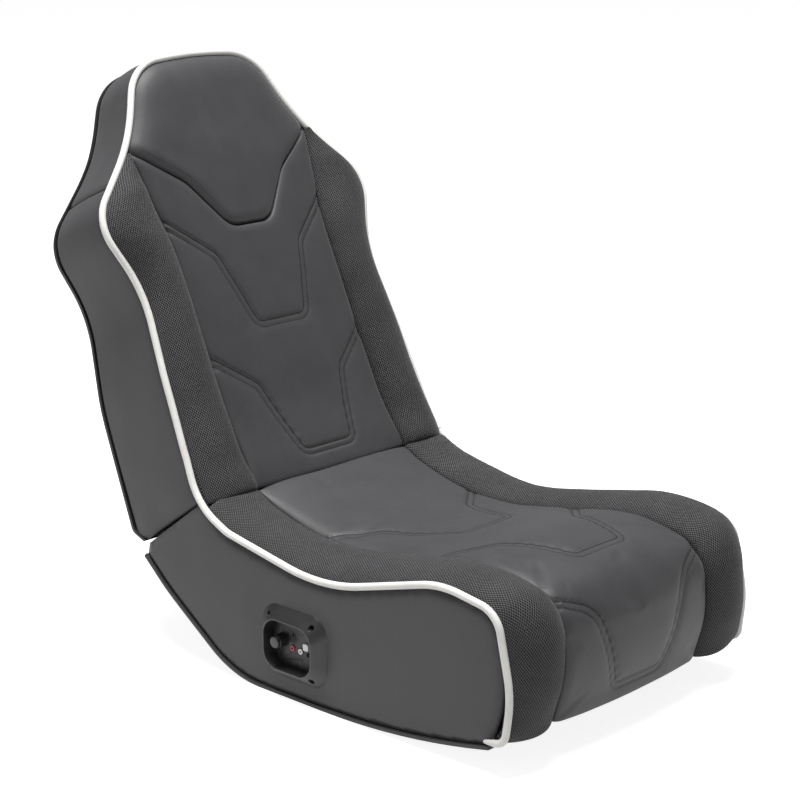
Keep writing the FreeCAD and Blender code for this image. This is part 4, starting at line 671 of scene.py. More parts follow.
def lining_cloth():
    """Black spun-bonded polypropylene stapled over the open faces: dull, with pressed points."""
    material, tree, place = new_material("spunbonded_lining")
    at = {"Vector": place["Object"]}
    points = add(tree, "ShaderNodeTexVoronoi", {"Scale": 520.0, "Randomness": 0.25}, at)
    cloud = add(tree, "ShaderNodeTexNoise", {"Scale": 60.0, "Detail": 4.0}, at)
    tone = add(tree, "ShaderNodeValToRGB", links={"Fac": cloud})
    for stop, text in zip(tone.color_ramp.elements, ("#101011", "#222224")):
        stop.color = solid(linear(text))
    bump = add(tree, "ShaderNodeBump", {"Strength": 0.5, "Distance": 0.0002}, {"Height": points})
    return shaded(material, {"Roughness": 0.9, "Specular IOR Level": 0.2},
                  {"Base Color": tone, "Normal": bump})


def moulded_plastic(name, colour, rough, scale, depth):
    """Injection-moulded ABS: even colour, spark-eroded grain, slightly worn sheen."""
    material, tree, place = new_material(name)
    at = {"Vector": place["Object"]}
    texture = add(tree, "ShaderNodeTexNoise", {"Scale": scale, "Detail": 3.0, "Roughness": 0.6}, at)
    handled = add(tree, "ShaderNodeTexNoise", {"Scale": 90.0, "Detail": 4.0}, at)
    tone = add(tree, "ShaderNodeValToRGB", links={"Fac": handled})
    for stop, factor in zip(tone.color_ramp.elements, (0.9, 1.08)):
        stop.color = solid(colour, factor)
    gloss = add(tree, "ShaderNodeMapRange", {"To Min": rough - 0.06, "To Max": rough + 0.08},
                {"Value": handled})
    bump = add(tree, "ShaderNodeBump", {"Strength": 0.4, "Distance": depth}, {"Height": texture})
    return shaded(material, {"IOR": 1.53}, {"Base Color": tone, "Roughness": gloss, "Normal": bump})


def plated_metal(name, colour, rough):
    """Zinc-plated or blackened steel: fine rolled scratches along one way."""
    material, tree, place = new_material(name)
    stretch = add(tree, "ShaderNodeMapping", {"Scale": (1.0, 14.0, 14.0)}, {"Vector": place["Object"]})
    scratch = add(tree, "ShaderNodeTexNoise", {"Scale": 240.0, "Detail": 5.0}, {"Vector": stretch})
    tone = add(tree, "ShaderNodeValToRGB", links={"Fac": scratch})
    for stop, factor in zip(tone.color_ramp.elements, (0.85, 1.1)):
        stop.color = solid(colour, factor)
    gloss = add(tree, "ShaderNodeMapRange", {"To Min": rough - 0.08, "To Max": rough + 0.1},
                {"Value": scratch})
    bump = add(tree, "ShaderNodeBump", {"Strength": 0.25, "Distance": 0.00006}, {"Height": scratch})
    return shaded(material, {"Metallic": 1.0}, {"Base Color": tone, "Roughness": gloss, "Normal": bump})


def sewing_thread(colours):
    """Bonded polyester thread: twisted, with a dull shine."""
    material, tree, place = new_material("bonded_polyester_thread")
    twist = add(tree, "ShaderNodeTexNoise", {"Scale": 1500.0, "Detail": 2.0}, {"Vector": place["Object"]})
    tone = add(tree, "ShaderNodeValToRGB", links={"Fac": twist})
    for stop, factor in zip(tone.color_ramp.elements, (0.6, 1.3)):
        stop.color = solid(colours.thread, factor)
    return shaded(material, {"Roughness": 0.6}, {"Base Color": tone})


MATERIALS = {}


def finishes(scene):
    """The chair's materials by name, made on the first call."""
    if MATERIALS:
        return MATERIALS
    colours, sizes = scene.rocker_colours, scene.rocker_sizes
    MATERIALS.update({
        "vinyl": soft_touch_vinyl(colours, sizes.band_width / MM),
        "mesh": spacer_mesh(colours, sizes.mesh_pitch),
        "piping": coated_piping(colours),
        "lacquer": lacquered_board(colours),
        "fibreboard": raw_fibreboard(colours),
        "lining": lining_cloth(),
        "thread": sewing_thread(colours),
        "housing": moulded_plastic("moulded_abs_housing", colours.housing, 0.42, 900.0, 0.00008),
        "plate": moulded_plastic("moulded_abs_plate", linear("#191a1b"), 0.5, 1100.0, 0.00008),
        "knob": moulded_plastic("moulded_abs_knob", linear("#26262a"), 0.34, 1300.0, 0.00004),
        "red": moulded_plastic("red_polypropylene", linear("#b03a46"), 0.33, 1300.0, 0.00003),
        "white": moulded_plastic("white_polycarbonate", linear("#eceae5"), 0.3, 1300.0, 0.00003),
        "lens": moulded_plastic("smoked_acrylic", linear("#24242c"), 0.12, 1300.0, 0.00001),
        "cone": moulded_plastic("pressed_paper_cone", linear("#202021"), 0.85, 500.0, 0.0003),
        "circuit": moulded_plastic("solder_masked_laminate", linear("#1f4a2c"), 0.35, 260.0, 0.0002),
        "zinc": plated_metal("zinc_plated_steel", linear("#9b9da0"), 0.36),
        "black_steel": plated_metal("blackened_steel", linear("#2a2a2c"), 0.42),
    })
    return MATERIALS


# Pieces


def add_grooves(obj, across, sizes):
    """Presses the two sewn lines of each chevron into a face and stores where they run."""
    depth, band = sizes.groove_depth / MM, sizes.band_width / MM
    upper = depth * np.exp(-(across / 1.9) ** 2)
    lower = 0.75 * depth * np.exp(-((across - band) / 2.2) ** 2)
    drawn = 1.3 * np.exp(-((across - band / 2) / 15) ** 2)
    push(obj, -(upper + lower + drawn))
    # The stored distances let the vinyl paint shade along both lines.
    note_seams(obj, np.clip(across, -FAR_FROM_SEAM, FAR_FROM_SEAM), np.clip(1 - np.abs(across) / 20, 0, 1))


def nearest(lines, points):
    """Signed distance from the nearest of several lines."""
    best = None
    for line in lines:
        signed = line.across(points)
        best = signed if best is None else np.where(np.abs(signed) < np.abs(best), signed, best)
    return best


def seat_frame(marks):
    """Points of the seat line and the directions out of it, in the side view."""
    line = Line(rounded(SEAT_LINE))
    way = line.heading(marks)
    return line.at(marks), np.stack([way[:, 1], -way[:, 0]], -1)


def seat_surface(marks, x, rise):
    """Points above the seat line, one row for each mark."""
    at, up = seat_frame(marks)
    y = at[:, 0][:, None] + up[:, 0][:, None] * rise
    z = at[:, 1][:, None] + up[:, 1][:, None] * rise
    return np.stack([np.broadcast_to(x, y.shape), y, z], -1)


def seat_chevron_lines():
    """Centre lines of the seat's chevrons, as (x, distance along the seat line)."""
    line = Line(rounded(SEAT_LINE))
    halves = []
    for chevron in SEAT_CHEVRONS:
        halves.append([(x, line.mark_where(0, y, 0, 0.72), r) for (x, y), r in zip(chevron, CHEVRON_RADII)])
    halves.append([(x, line.mark_where(1, z, 0.7, 1), r) for (x, z), r in zip(FACE_CHEVRON, (0, 62, 9))])
    return [Line(rounded([(-x, mark, r) for x, mark, r in half] + half[::-1])) for half in halves]


def back_chevron_lines():
    """Centre lines of the back's chevrons, as (x, height)."""
    halves = [[(x, height, r) for (x, height), r in zip(chevron, CHEVRON_RADII)] for chevron in BACK_CHEVRONS]
    return [Line(rounded(half + [(-x, height, r) for x, height, r in reversed(half)])) for half in halves]


def along_columns(top):
    """Distances along a grid's rows from the first column, in millimetres."""
    steps = np.linalg.norm(np.diff(top, axis=1), axis=2)
    return np.concatenate([np.zeros((top.shape[0], 1)), np.cumsum(steps, axis=1)], 1)


def away_from_fold(distance):
    """Share of a cushion's drawn-in side that is left at a distance from the fold, where cushions press."""
    return 1 - 0.9 * np.exp(-(distance / 26) ** 2)


class ROCKER_OT_seat_cushion(bpy.types.Operator):
    """Centre cushion of the seat, crowned, with two chevrons on top and one down its front"""

    bl_idname = "rocker.seat_cushion"
    bl_label = "Seat Cushion"

    def execute(self, context):
        sizes = context.scene.rocker_sizes
        length = Line(rounded(SEAT_LINE)).length
        marks = crowded(172, 0.3) * length
        half = SEAM_X - SLIT
        x = (2 * crowded(73) - 1) * half
        rise = (
            sizes.seat_crown / MM * (1 - (x / half) ** 2)[None, :] + 3 * np.exp(-(marks / 30) ** 2)[:, None]
        )
        rise = rise - roll(half - np.abs(x), SIDE_ROLL, SEAM_SINK)[None, :] * away_from_fold(marks)[:, None]
        rise = rise - roll(marks, 8, 3.5)[:, None] - roll(length - marks, 8, 4)[:, None]
        top = seat_surface(marks, x, rise)
        top[..., 2] += 1.1 * unevenness(top, 75, 2)
        under = seat_surface(marks, x * 0.975, np.minimum(rise, 0) - 16)
        uv = np.stack(np.broadcast_arrays(x[None, :], marks[:, None]), -1)
        obj = pad("seat_cushion_cover", top, under, uv)
        inflate(obj, rise.shape, CUSHION_PUFF)
        add_grooves(obj, nearest(seat_chevron_lines(), uv), sizes)
        finer(obj)
        settle(obj, "seat", finishes(context.scene)["vinyl"], ["seat_cushion"])
        return {"FINISHED"}


class ROCKER_OT_seat_bolsters(bpy.types.Operator):
    """Raised side bolsters of the seat in spacer mesh, rolling over the front down to the base"""

    bl_idname = "rocker.seat_bolsters"
    bl_label = "Seat Bolsters"

    def execute(self, context):
        length = Line(rounded(SEAT_LINE)).length
        marks = crowded(176, 0.3) * length
        at, up = seat_frame(marks)
        edge = Line(rounded(SEAT_PIPING_LINE)).distance_from(at, up)
        edge = np.convolve(np.pad(edge, 4, mode="edge"), np.ones(9) / 9, "valid")
        edge = np.clip(edge, -34, 12)
        share = crowded(30)
        inner, outer = SEAM_X + SLIT, SEAT_PIPING_X - 2.5
        x = inner + (outer - inner) * share
        inside_edge = (2 - (SEAM_SINK + 2) * away_from_fold(marks))[:, None]
        low = inside_edge + (edge[:, None] + 1.0 - inside_edge) * share[None, :]
        fullest = graded(SEAT_BOLSTER_RISE, marks / length)
        middle = (edge + 1.0 - SEAM_SINK) / 2
        shape = np.sin(math.pi * share ** 0.92) ** 0.62
        rise = low + (fullest - middle)[:, None] * shape[None, :]
        rise = rise - roll(marks, 8, 3.5)[:, None] - roll(length - marks, 9, 5)[:, None]
        top = seat_surface(marks, x, rise)
        top[..., 2] += 1.2 * unevenness(top, 55, 5)
        under = seat_surface(marks, np.clip(x, inner + 2, outer - 3), np.minimum(low, rise) - 13)
        run = along_columns(top)
        uv = np.stack([run, np.broadcast_to(marks[:, None], run.shape)], -1)
        obj = pad("seat_bolster_cover_left", top, under, uv)
        inflate(obj, rise.shape, BOLSTER_PUFF)
        finer(obj)
        settle_pair(obj, "seat", finishes(context.scene)["mesh"], "seat_bolster")
        return {"FINISHED"}


def back_side_line():
    """Half of the back's outline on the sitter's left, as (half width, height)."""
    return Line(rounded(BACK_OUTLINE[:8]))


def outline_width(heights, inset):
    """Half width of the back's outline at heights, moved in by an inset."""
    line = back_side_line()
    marks = np.linspace(0, line.length, 3000)
    points = line.shifted(inset).at(marks)
    rising = np.maximum.accumulate(points[:, 1])
    keep = np.concatenate([[True], np.diff(rising) > 1e-6])
    return np.interp(heights, rising[keep], points[keep, 0])


def seam_width(heights):
    """Half width of the back's centre panel at heights."""
    flare = rounded(SEAM_FLARE)
    return np.interp(heights, flare[:, 1], flare[:, 0])


def yoke_height(x):
    """Height of the yoke seam at places across the back."""
    line = rounded(YOKE)[::-1]
    return np.interp(x, line[:, 0], line[:, 1])


class ROCKER_OT_back_cushions(bpy.types.Operator):
    """Centre cushion of the back with two chevrons, and the head cushion above the yoke seam"""

    bl_idname = "rocker.back_cushions"
    bl_label = "Back Cushions"

    def execute(self, context):
        sizes = context.scene.rocker_sizes
        vinyl = finishes(context.scene)["vinyl"]
        self.lower(sizes, vinyl)
        self.head(vinyl)
        return {"FINISHED"}

    def lower(self, sizes, vinyl):
        """The panel between the fold and the yoke seam."""
        share_x = 2 * crowded(75) - 1
        ends = np.full(share_x.shape, 400.0)
        for _ in range(30):
            ends = yoke_height(share_x * (seam_width(ends) - SLIT)) - SLIT
        rows = crowded(118, 0.3)
        height = BACK_FOOT + rows[:, None] * (ends - BACK_FOOT)[None, :]
        width = seam_width(height) - SLIT
        x = share_x[None, :] * width
        crown = sizes.back_crown / MM * graded([(0, 1.5), (0.12, 1.25), (0.3, 1), (1, 0.9)], rows)[:, None]
        forward = crown * (1 - share_x ** 2)[None, :] - SEAM_SINK
        to_yoke = (
            (ends[None, :] - height) * np.cos(np.arctan(np.abs(np.gradient(ends, share_x * 150))))[None, :]
        )
        forward = forward + 11 * np.exp(-(height / 65) ** 2)
        forward = forward - roll(width - np.abs(x), SIDE_ROLL, SEAM_SINK) * away_from_fold(height)
        forward = forward - roll(height - BACK_FOOT, 9, 4) - roll(to_yoke, 14, 6)
        top = on_back(x, -forward, height)
        top[..., 1] -= 1.1 * unevenness(top, 80, 9)
        under = on_back(x * 0.98, 24.0, np.maximum(height, 6.0))
        uv = np.stack([x, height], -1)
        obj = pad("back_cushion_cover", top, under, uv)
        inflate(obj, x.shape, CUSHION_PUFF)
        add_grooves(obj, nearest(back_chevron_lines(), uv), sizes)
        finer(obj)
        settle(obj, "backrest", vinyl, ["back_cushion"])

    def head(self, vinyl):
        """The cushion above the yoke seam, up to the piping. It isn't simulated, which puckers it."""
        outline = Line(rounded(BACK_OUTLINE)).shifted(HEAD_INSET)
        marks = np.linspace(0, outline.length, 4000)
        above = marks[outline.at(marks)[:, 1] > HEAD_FOOT]
        low, high = above[0], above[-1]
        across = crowded(97, 0.2)
        upper = outline.at(low + (high - low) * across)
        yoke = Line(rounded(YOKE))
        lower = yoke.at(yoke.length * across)
        wider = outline_width(HEAD_FOOT, HEAD_INSET) / YOKE[0][0]
        lower[:, 0] = lower[:, 0] * wider ** (np.abs(2 * across - 1) ** 6)
        lower[:, 1] = np.minimum(lower[:, 1], upper[:, 1] - 3)
        rows = crowded(64, 0.35)
        plan = lower[None] * (1 - rows)[:, None, None] + upper[None] * rows[:, None, None]
        x, height = plan[..., 0], plan[..., 1]
        to_edge = np.abs(outline.across(plan))
        to_yoke = np.abs(yoke.across(plan))
        forward = -16 + 14 * np.tanh(to_edge / 26) + 3 - roll(to_edge, 16, 5) - roll(to_yoke, 18, 10)
        bulge = np.exp(-((height - 470) / 70) ** 2) * np.exp(-(x / 90) ** 2)
        top = on_back(x, -forward - 3.5 * bulge, height)
        top[..., 1] -= 1.2 * unevenness(top, 60, 12)
        under = on_back(x * 0.97, 26.0, height - 0.02 * (height - 500))
        obj = pad("head_cushion_cover", top, under, plan)
        note_seams(obj)
        finer(obj)
        settle(obj, "backrest", vinyl, ["head_cushion"])


class ROCKER_OT_back_bolsters(bpy.types.Operator):
    """Side bolsters of the back in spacer mesh, from the fold up to a point beside the neck"""

    bl_idname = "rocker.back_bolsters"
    bl_label = "Back Bolsters"

    def execute(self, context):
        sizes = context.scene.rocker_sizes
        rows = crowded(150, 0.3)
        height = BACK_FOOT + (BOLSTER_TOP - BACK_FOOT) * rows
        inner = seam_width(height) + SLIT
        outer = np.maximum(outline_width(height, 5.5), inner + 2.0)
        share = crowded(30)
        x = inner[:, None] + (outer - inner)[:, None] * share[None, :]
        width = outer - inner
        fullest = sizes.bolster_crown / MM * graded(
            [(0, 0.85), (0.06, 0.95), (0.15, 1), (0.75, 1), (0.88, 0.8), (0.96, 0.4), (1, 0.1)], rows)
        fullest = fullest * np.clip(width / 60, 0.05, 1) ** 0.6
        low = 1.5 * np.sin(math.pi * share)[None, :] - 2 * SEAM_SINK
        low = low + 11 * (1 - share) * (1 - away_from_fold(height))[:, None]
        shape = np.sin(math.pi * share ** 0.92) ** 0.6
        forward = low + (fullest + SEAM_SINK)[:, None] * shape[None, :]
        forward = forward + (7 * np.exp(-(height / 60) ** 2) - roll(height - BACK_FOOT, 8, 3.5))[:, None]
        places = np.broadcast_to(height[:, None], x.shape)
        top = on_back(x, -forward, places)
        top[..., 1] -= 1.3 * unevenness(top, 55, 15)
        under = on_back(x, 27.0, np.maximum(places, 6.0))
        run = along_columns(top)
        obj = pad("back_bolster_cover_left", top, under, np.stack([run, places], -1))
        inflate(obj, x.shape, BOLSTER_PUFF)
        finer(obj)
        settle_pair(obj, "backrest", finishes(context.scene)["mesh"], "back_bolster")
        return {"FINISHED"}


def merged_copy(node, name):
    """A CAD node's mesh with its loose triangles joined, as a new object."""
    mesh = frame["nodes"][node].data.copy()
    mesh.name = name
    shape = bmesh.new()
    shape.from_mesh(mesh)
    bmesh.ops.remove_doubles(shape, verts=shape.verts, dist=1e-5)
    bmesh.ops.dissolve_limit(shape, angle_limit=math.radians(0.6), verts=shape.verts, edges=shape.edges)
    shape.to_mesh(mesh)
    shape.free()
    mesh.materials.clear()
    return placed(name, mesh)


def softened(node, name, width):
    """A copy of a CAD node whose edges are rounded as a moulding or sanding leaves them."""
    obj = merged_copy(node, name)
    eased(obj, width, 30.0)
    return obj


def side_loops(node, x):
    """Outer and inner edge loops of a node's flat face at a place across the chair, in millimetres."""
    mesh = frame["nodes"][node].data
    shape = bmesh.new()
    shape.from_mesh(mesh)
    bmesh.ops.remove_doubles(shape, verts=shape.verts, dist=1e-5)
    flat = {f for f in shape.faces if all(abs(v.co.x / MM - x) < 0.05 for v in f.verts)}
    links = {}
    for face in flat:
        for loop in face.loops:
            edge = loop.edge
            if sum(1 for f in edge.link_faces if f in flat) == 1:
                first, last = loop.vert, loop.link_loop_next.vert
                links[first.index] = last.index
    places = {v.index: (v.co.y / MM, v.co.z / MM) for v in shape.verts}
    shape.free()
    loops = []
    while links:
        first = next(iter(links))
        run = [first]
        while run[-1] in links:
            run.append(links.pop(run[-1]))
        loops.append(np.array([places[i] for i in run[:-1]]))
    return sorted(loops, key=lambda loop: -np.ptp(loop[:, 0]))


def even(loop, spacing):
    """A closed loop with points at an even spacing on its straight and gently curved runs."""
    closed = np.vstack([loop, loop[:1]])
    points = []
    for first, last in zip(closed, closed[1:]):
        count = max(1, int(round(np.linalg.norm(last - first) / spacing)))
        points.extend(first + (last - first) * k / count for k in range(count))
    kept = [points[0]]
    for point in points[1:]:
        if np.linalg.norm(point - kept[-1]) > 0.35 * spacing:
            kept.append(point)
    return np.array(kept)


def inside(points, loops):
    """Which points lie inside the first loop and outside the others."""
    result = np.zeros(len(points), bool)
    for loop in loops:
        first, last = loop, np.roll(loop, -1, axis=0)
        for (y0, z0), (y1, z1) in zip(first, last):
            if abs(z1 - z0) < 1e-12:
                continue
            crosses = (z0 > points[:, 1]) != (z1 > points[:, 1])
            reach = y0 + (points[:, 1] - z0) / (z1 - z0) * (y1 - y0)
            result ^= crosses & (points[:, 0] < reach)
    return result


def to_loop(points, loop):
    """Distance of points from a closed loop."""
    return np.abs(Line(np.vstack([loop, loop[:1]])).across(points))


def side_cover(name, node, x, thickness):
    """A stretched cover over a padded side board, slightly full, drawn in at its edges."""
    loops = [even(loop, 5.0) for loop in side_loops(node, x)]
    low, high = loops[0].min(0), loops[0].max(0)
    ys, zs = np.meshgrid(np.arange(low[0], high[0], 6.0), np.arange(low[1], high[1], 6.0), indexing="ij")
    ys = ys + 3.0 * (np.arange(ys.shape[1]) % 2)[None, :]
    field = np.stack([ys.ravel(), zs.ravel()], -1)
    field = field[inside(field, loops)]
    for loop in loops:
        field = field[to_loop(field, loop) > 3.0]
    places, rings = [], []
    for loop in loops:
        rings.append((len(places), len(loop)))
        places.extend(loop.tolist())
    edges = [(start + k, start + (k + 1) % count) for start, count in rings for k in range(count)]
    places = places + field.tolist()
    result = geometry.delaunay_2d_cdt([Vector(p) for p in places], edges, [], 0, 1e-4)
    flat = np.array([tuple(v) for v in result[0]])
    faces = np.array([f for f in result[2] if len(f) == 3])
    centres = flat[faces].mean(1)
    faces = faces[inside(centres, loops)]
    edge = to_loop(flat, loops[0])
    way = math.copysign(1, x)
    rise = 2.4 * np.tanh(edge / 45) - roll(edge, 12, 3.5) - 0.4
    spots = np.stack([np.full(len(flat), x), flat[:, 0], flat[:, 1]], -1)
    rise = rise + 0.9 * unevenness(spots, 70, 21) * np.tanh(edge / 20)
    for opening in loops[1:]:
        rise = rise * np.clip((to_loop(flat, opening) - 14) / 40, 0, 1) ** 0.5
    outer = np.stack([x + way * rise, flat[:, 0], flat[:, 1]], -1)
    inner = np.stack([np.full(len(flat), x - way * thickness), flat[:, 0], flat[:, 1]], -1)
    count = len(flat)
    a, b, c = (outer[faces[0][i]] for i in range(3))
    if np.cross(b - a, c - a)[0] * way < 0:
        faces = faces[:, ::-1]
    sides = {}
    for f in faces:
        for p, q in zip(f, np.roll(f, -1)):
            sides[(int(p), int(q))] = True
    rim = [(q, p, p + count, q + count) for p, q in sides if (q, p) not in sides]
    all_faces = [tuple(f) for f in faces] + [tuple(f[::-1] + count) for f in faces] + rim
    uv = np.concatenate([flat, flat])
    return mesh_object(name, np.concatenate([outer, inner]), all_faces, uv)


class ROCKER_OT_side_covers(bpy.types.Operator):
    """Vinyl covers of the seat's sides, the back's sides and the band round the head"""

    bl_idname = "rocker.side_covers"
    bl_label = "Side Covers"

    def execute(self, context):
        vinyl = finishes(context.scene)["vinyl"]
        for side, way in (("left", 1), ("right", -1)):
            obj = side_cover("seat_cover_" + side, "seat_side_cover_" + side, way * COVER_X, 7.5)
            note_seams(obj)
            settle(obj, "seat", vinyl, ["seat_side_cover_" + side])
        settle_pair(
            self.back_band("back_cover_left", "side"), "backrest", vinyl, "back_side_cover"
        )
        settle(self.back_band("head_cover", "head"), "backrest", vinyl, ["head_side_cover"])
        return {"FINISHED"}

    def back_band(self, name, part):
        """One cover of the back's edge, between the piping and the rear panel."""
        outline = Line(rounded(BACK_OUTLINE))
        marks = np.linspace(0, outline.length, 8000)
        points = outline.at(marks)
        low = marks[np.argmax(points[:, 1] > SHOULDER)]
        high = outline.length - low
        foot = marks[np.argmax(points[:, 1] > 0)]
        if part == "side":
            run = np.linspace(foot, low - 0.25, 92)
        else:
            run = np.linspace(low + 0.25, high - 0.25, 150)
        at = outline.at(run)
        way = outline.heading(run)
        out = np.stack([way[:, 1], -way[:, 0]], -1)
        rear = Line(rounded(REAR_LINE)).shifted(5.4)
        rear_marks = np.linspace(0, rear.length, 3000)
        rear_points = rear.at(rear_marks)
        rear_depth = np.interp(at[:, 1], rear_points[:, 1], rear_points[:, 0])
        share = crowded(30, 0.4)
        depth = BAND_FRONT + (rear_depth - BAND_FRONT)[:, None] * share[None, :]
        height = np.broadcast_to(at[:, 1][:, None], depth.shape).copy()
        if part == "side":
            blend = np.clip(1 - (run - foot) / 75.0, 0, 1)[:, None]
            heel = np.clip((share - 0.9) / 0.1, 0, 1)[None, :]
            height = height + (7.0 * heel ** 2 - depth * FOOT_FALL) * blend
        to_front = depth - BAND_FRONT
        to_rear = rear_depth[:, None] - depth
        to_ends = np.minimum(run - run[0], run[-1] - run)[:, None]
        if part == "side":
            ends = roll((run - run[0])[:, None], 12, 3.0) + roll((run[-1] - run)[:, None], 9, 2.2)
        else:
            ends = roll(to_ends, 9, 2.2) + 1.1 * np.exp(-((to_ends - 6.4) / 1.6) ** 2)
        rise = (
            2.0 * np.tanh(np.minimum(to_front, to_rear) / 30)
            - roll(to_front, 10, 3.0) - roll(to_rear, 9, 2.6)
        )
        rise = rise - ends
        x = at[:, 0][:, None] + out[:, 0][:, None] * rise
        height = height + out[:, 1][:, None] * rise
        top = on_back(x, depth, height)
        wavy = 0.9 * unevenness(top, 60, 31) * np.tanh(np.minimum(to_front, to_rear) / 15)
        top[..., 0] += wavy * out[:, 0][:, None]
        under = on_back((at[:, 0] - out[:, 0] * 6.0)[:, None], depth, height - out[:, 1][:, None] * 6.0)
        uv = np.stack([depth, np.broadcast_to(run[:, None], depth.shape)], -1)
        obj = pad(name, top, under, uv)
        if part == "head":
            # The band's end seams take the vinyl's painted groove shade: one line at each end and one about
            # 6.4 mm in.
            near = np.clip(1 - to_ends / 20, 0, 1)
            note_seams(obj, *(np.broadcast_to(values, depth.shape) for values in (to_ends * 1.4, near)))
        else:
            note_seams(obj)
        finer(obj)
        return obj


def seat_piping_points():
    """Centre points of the left seat piping."""
    line = Line(rounded(SEAT_PIPING_LINE))
    marks = np.arange(0, line.length, 3.0)
    at = line.at(marks)
    inward = (
        7.6 * np.clip(1 - marks / 125, 0, 1) ** 1.5
        - 4.5 * np.clip(1 - (line.length - marks) / 60, 0, 1) ** 1.5
    )
    return np.stack([SEAT_PIPING_X + 0.5 - inward, at[:, 0], at[:, 1]], -1), marks, line.length


class ROCKER_OT_piping(bpy.types.Operator):
    """Off-white welt cord along the sides of the seat and round the back"""

    bl_idname = "rocker.piping"
    bl_label = "Piping"

    def execute(self, context):
        radius = context.scene.rocker_sizes.piping_diameter / MM / 2
        material = finishes(context.scene)["piping"]
        points, marks, length = seat_piping_points()
        taper = 1 - 0.75 * np.clip(1 - (length - marks) / 26, 0, 1) ** 2
        below = marks >= CORD_SPLIT - CORD_OVERLAP
        left = tube("seat_piping_cord_left", points[below], radius * taper[below])
        settle_pair(left, "seat", material, "seat_piping")
        outline = Line(rounded(BACK_OUTLINE)).shifted(3.0)
        at = outline.at(np.arange(0, outline.length, 3.0))
        at = at[at[:, 1] > CORD_BEND_TOP]
        bend = points[marks <= CORD_SPLIT + 0.5][::-1]
        step = bend[-1, 0] - np.abs(at[0, 0])
        x = at[:, 0] + np.sign(at[:, 0]) * step * np.exp(-((at[:, 1] - CORD_BEND_TOP) / 60) ** 2)
        centres = np.concatenate([bend, on_back(x, CORD_DEPTH, at[:, 1]), bend[::-1] * (-1, 1, 1)])
        back = tube("back_piping_cord", centres, np.full(len(centres), radius))
        settle(back, "backrest", material, ["back_piping"])
        return {"FINISHED"}


def strip(name, side_points, half_width, thickness):
    """A flat cloth strip across the chair that follows points of the side view."""
    line = Line(np.array(side_points, float))
    marks = np.linspace(0, line.length, 40)
    x = np.linspace(-half_width, half_width, 60)
    at, way = line.at(marks), line.heading(marks)
    up = np.stack([way[:, 1], -way[:, 0]], -1)
    sag = -1.2 * (1 - (x / half_width) ** 2)[None, :] * np.sin(math.pi * marks / line.length)[:, None]
    grids = []
    for shift in (0.0, -thickness):
        y = at[:, 0][:, None] + up[:, 0][:, None] * (sag + shift)
        z = at[:, 1][:, None] + up[:, 1][:, None] * (sag + shift)
        grids.append(np.stack([np.broadcast_to(x, y.shape), y, z], -1))
    uv = np.stack(np.broadcast_arrays(x[None, :], marks[:, None]), -1)
    return pad(name, grids[0], grids[1], uv), line.length


class ROCKER_OT_linings(bpy.types.Operator):
    """Black lining cloth over the seat's rear face and under the back"""

    bl_idname = "rocker.linings"
    bl_label = "Linings"

    def execute(self, context):
        cloth = finishes(context.scene)["lining"]
        half = 230.0
        seat_points = [(y, FOLD_Z - (y - FOLD_Y) * GAP_FALL - 1.6) for y in (231.5, 121.0)]
        seat, length = strip("seat_rear_lining", seat_points, half, 0.6)
        settle(seat, "seat", cloth)
        depth = np.array([12.0, 158.0])
        back, length = strip(
            "back_foot_lining", on_back(0.0, depth, 0.9 - depth * FOOT_FALL)[:, 1:], half - 4, 0.6
        )
        settle(back, "backrest", cloth)
        return {"FINISHED"}


def stitch_tree():
    """Geometry nodes that lay stitches along a line."""
    tree = bpy.data.node_groups.new("stitches", "GeometryNodeTree")
    sockets = tree.interface
    sockets.new_socket("Geometry", in_out="INPUT", socket_type="NodeSocketGeometry")
    for name, value in (("Stitch Length", 0.003), ("Stitch Spacing", 0.0042), ("Thread", 0.0007)):
        sockets.new_socket(name, in_out="INPUT", socket_type="NodeSocketFloat").default_value = value
    sockets.new_socket("Material", in_out="INPUT", socket_type="NodeSocketMaterial")
    sockets.new_socket("Geometry", in_out="OUTPUT", socket_type="NodeSocketGeometry")
    source = add(tree, "NodeGroupInput").outputs
    curve = add(tree, "GeometryNodeMeshToCurve", links={"Mesh": source["Geometry"]})
    even_run = add(tree, "GeometryNodeResampleCurve",
                   links={"Curve": curve, "Length": source["Stitch Spacing"]}, mode="LENGTH")
    tangent = add(tree, "GeometryNodeInputTangent")
    turned = add(tree, "FunctionNodeAlignRotationToVector", links={"Vector": tangent}, axis="Z")
    bead = add(tree, "GeometryNodeMeshUVSphere", {"Segments": 6, "Rings": 4, "Radius": 0.5})
    scale = {"X": source["Thread"], "Y": source["Thread"], "Z": source["Stitch Length"]}
    scale = add(tree, "ShaderNodeCombineXYZ", links=scale)
    laid = add(tree, "GeometryNodeInstanceOnPoints",
               links={"Points": even_run, "Instance": bead, "Rotation": turned, "Scale": scale})
    real = add(tree, "GeometryNodeRealizeInstances", links={"Geometry": laid})
    dyed = add(tree, "GeometryNodeSetMaterial", links={"Geometry": real, "Material": source["Material"]})
    add(tree, "NodeGroupOutput", links={"Geometry": dyed})
    return tree


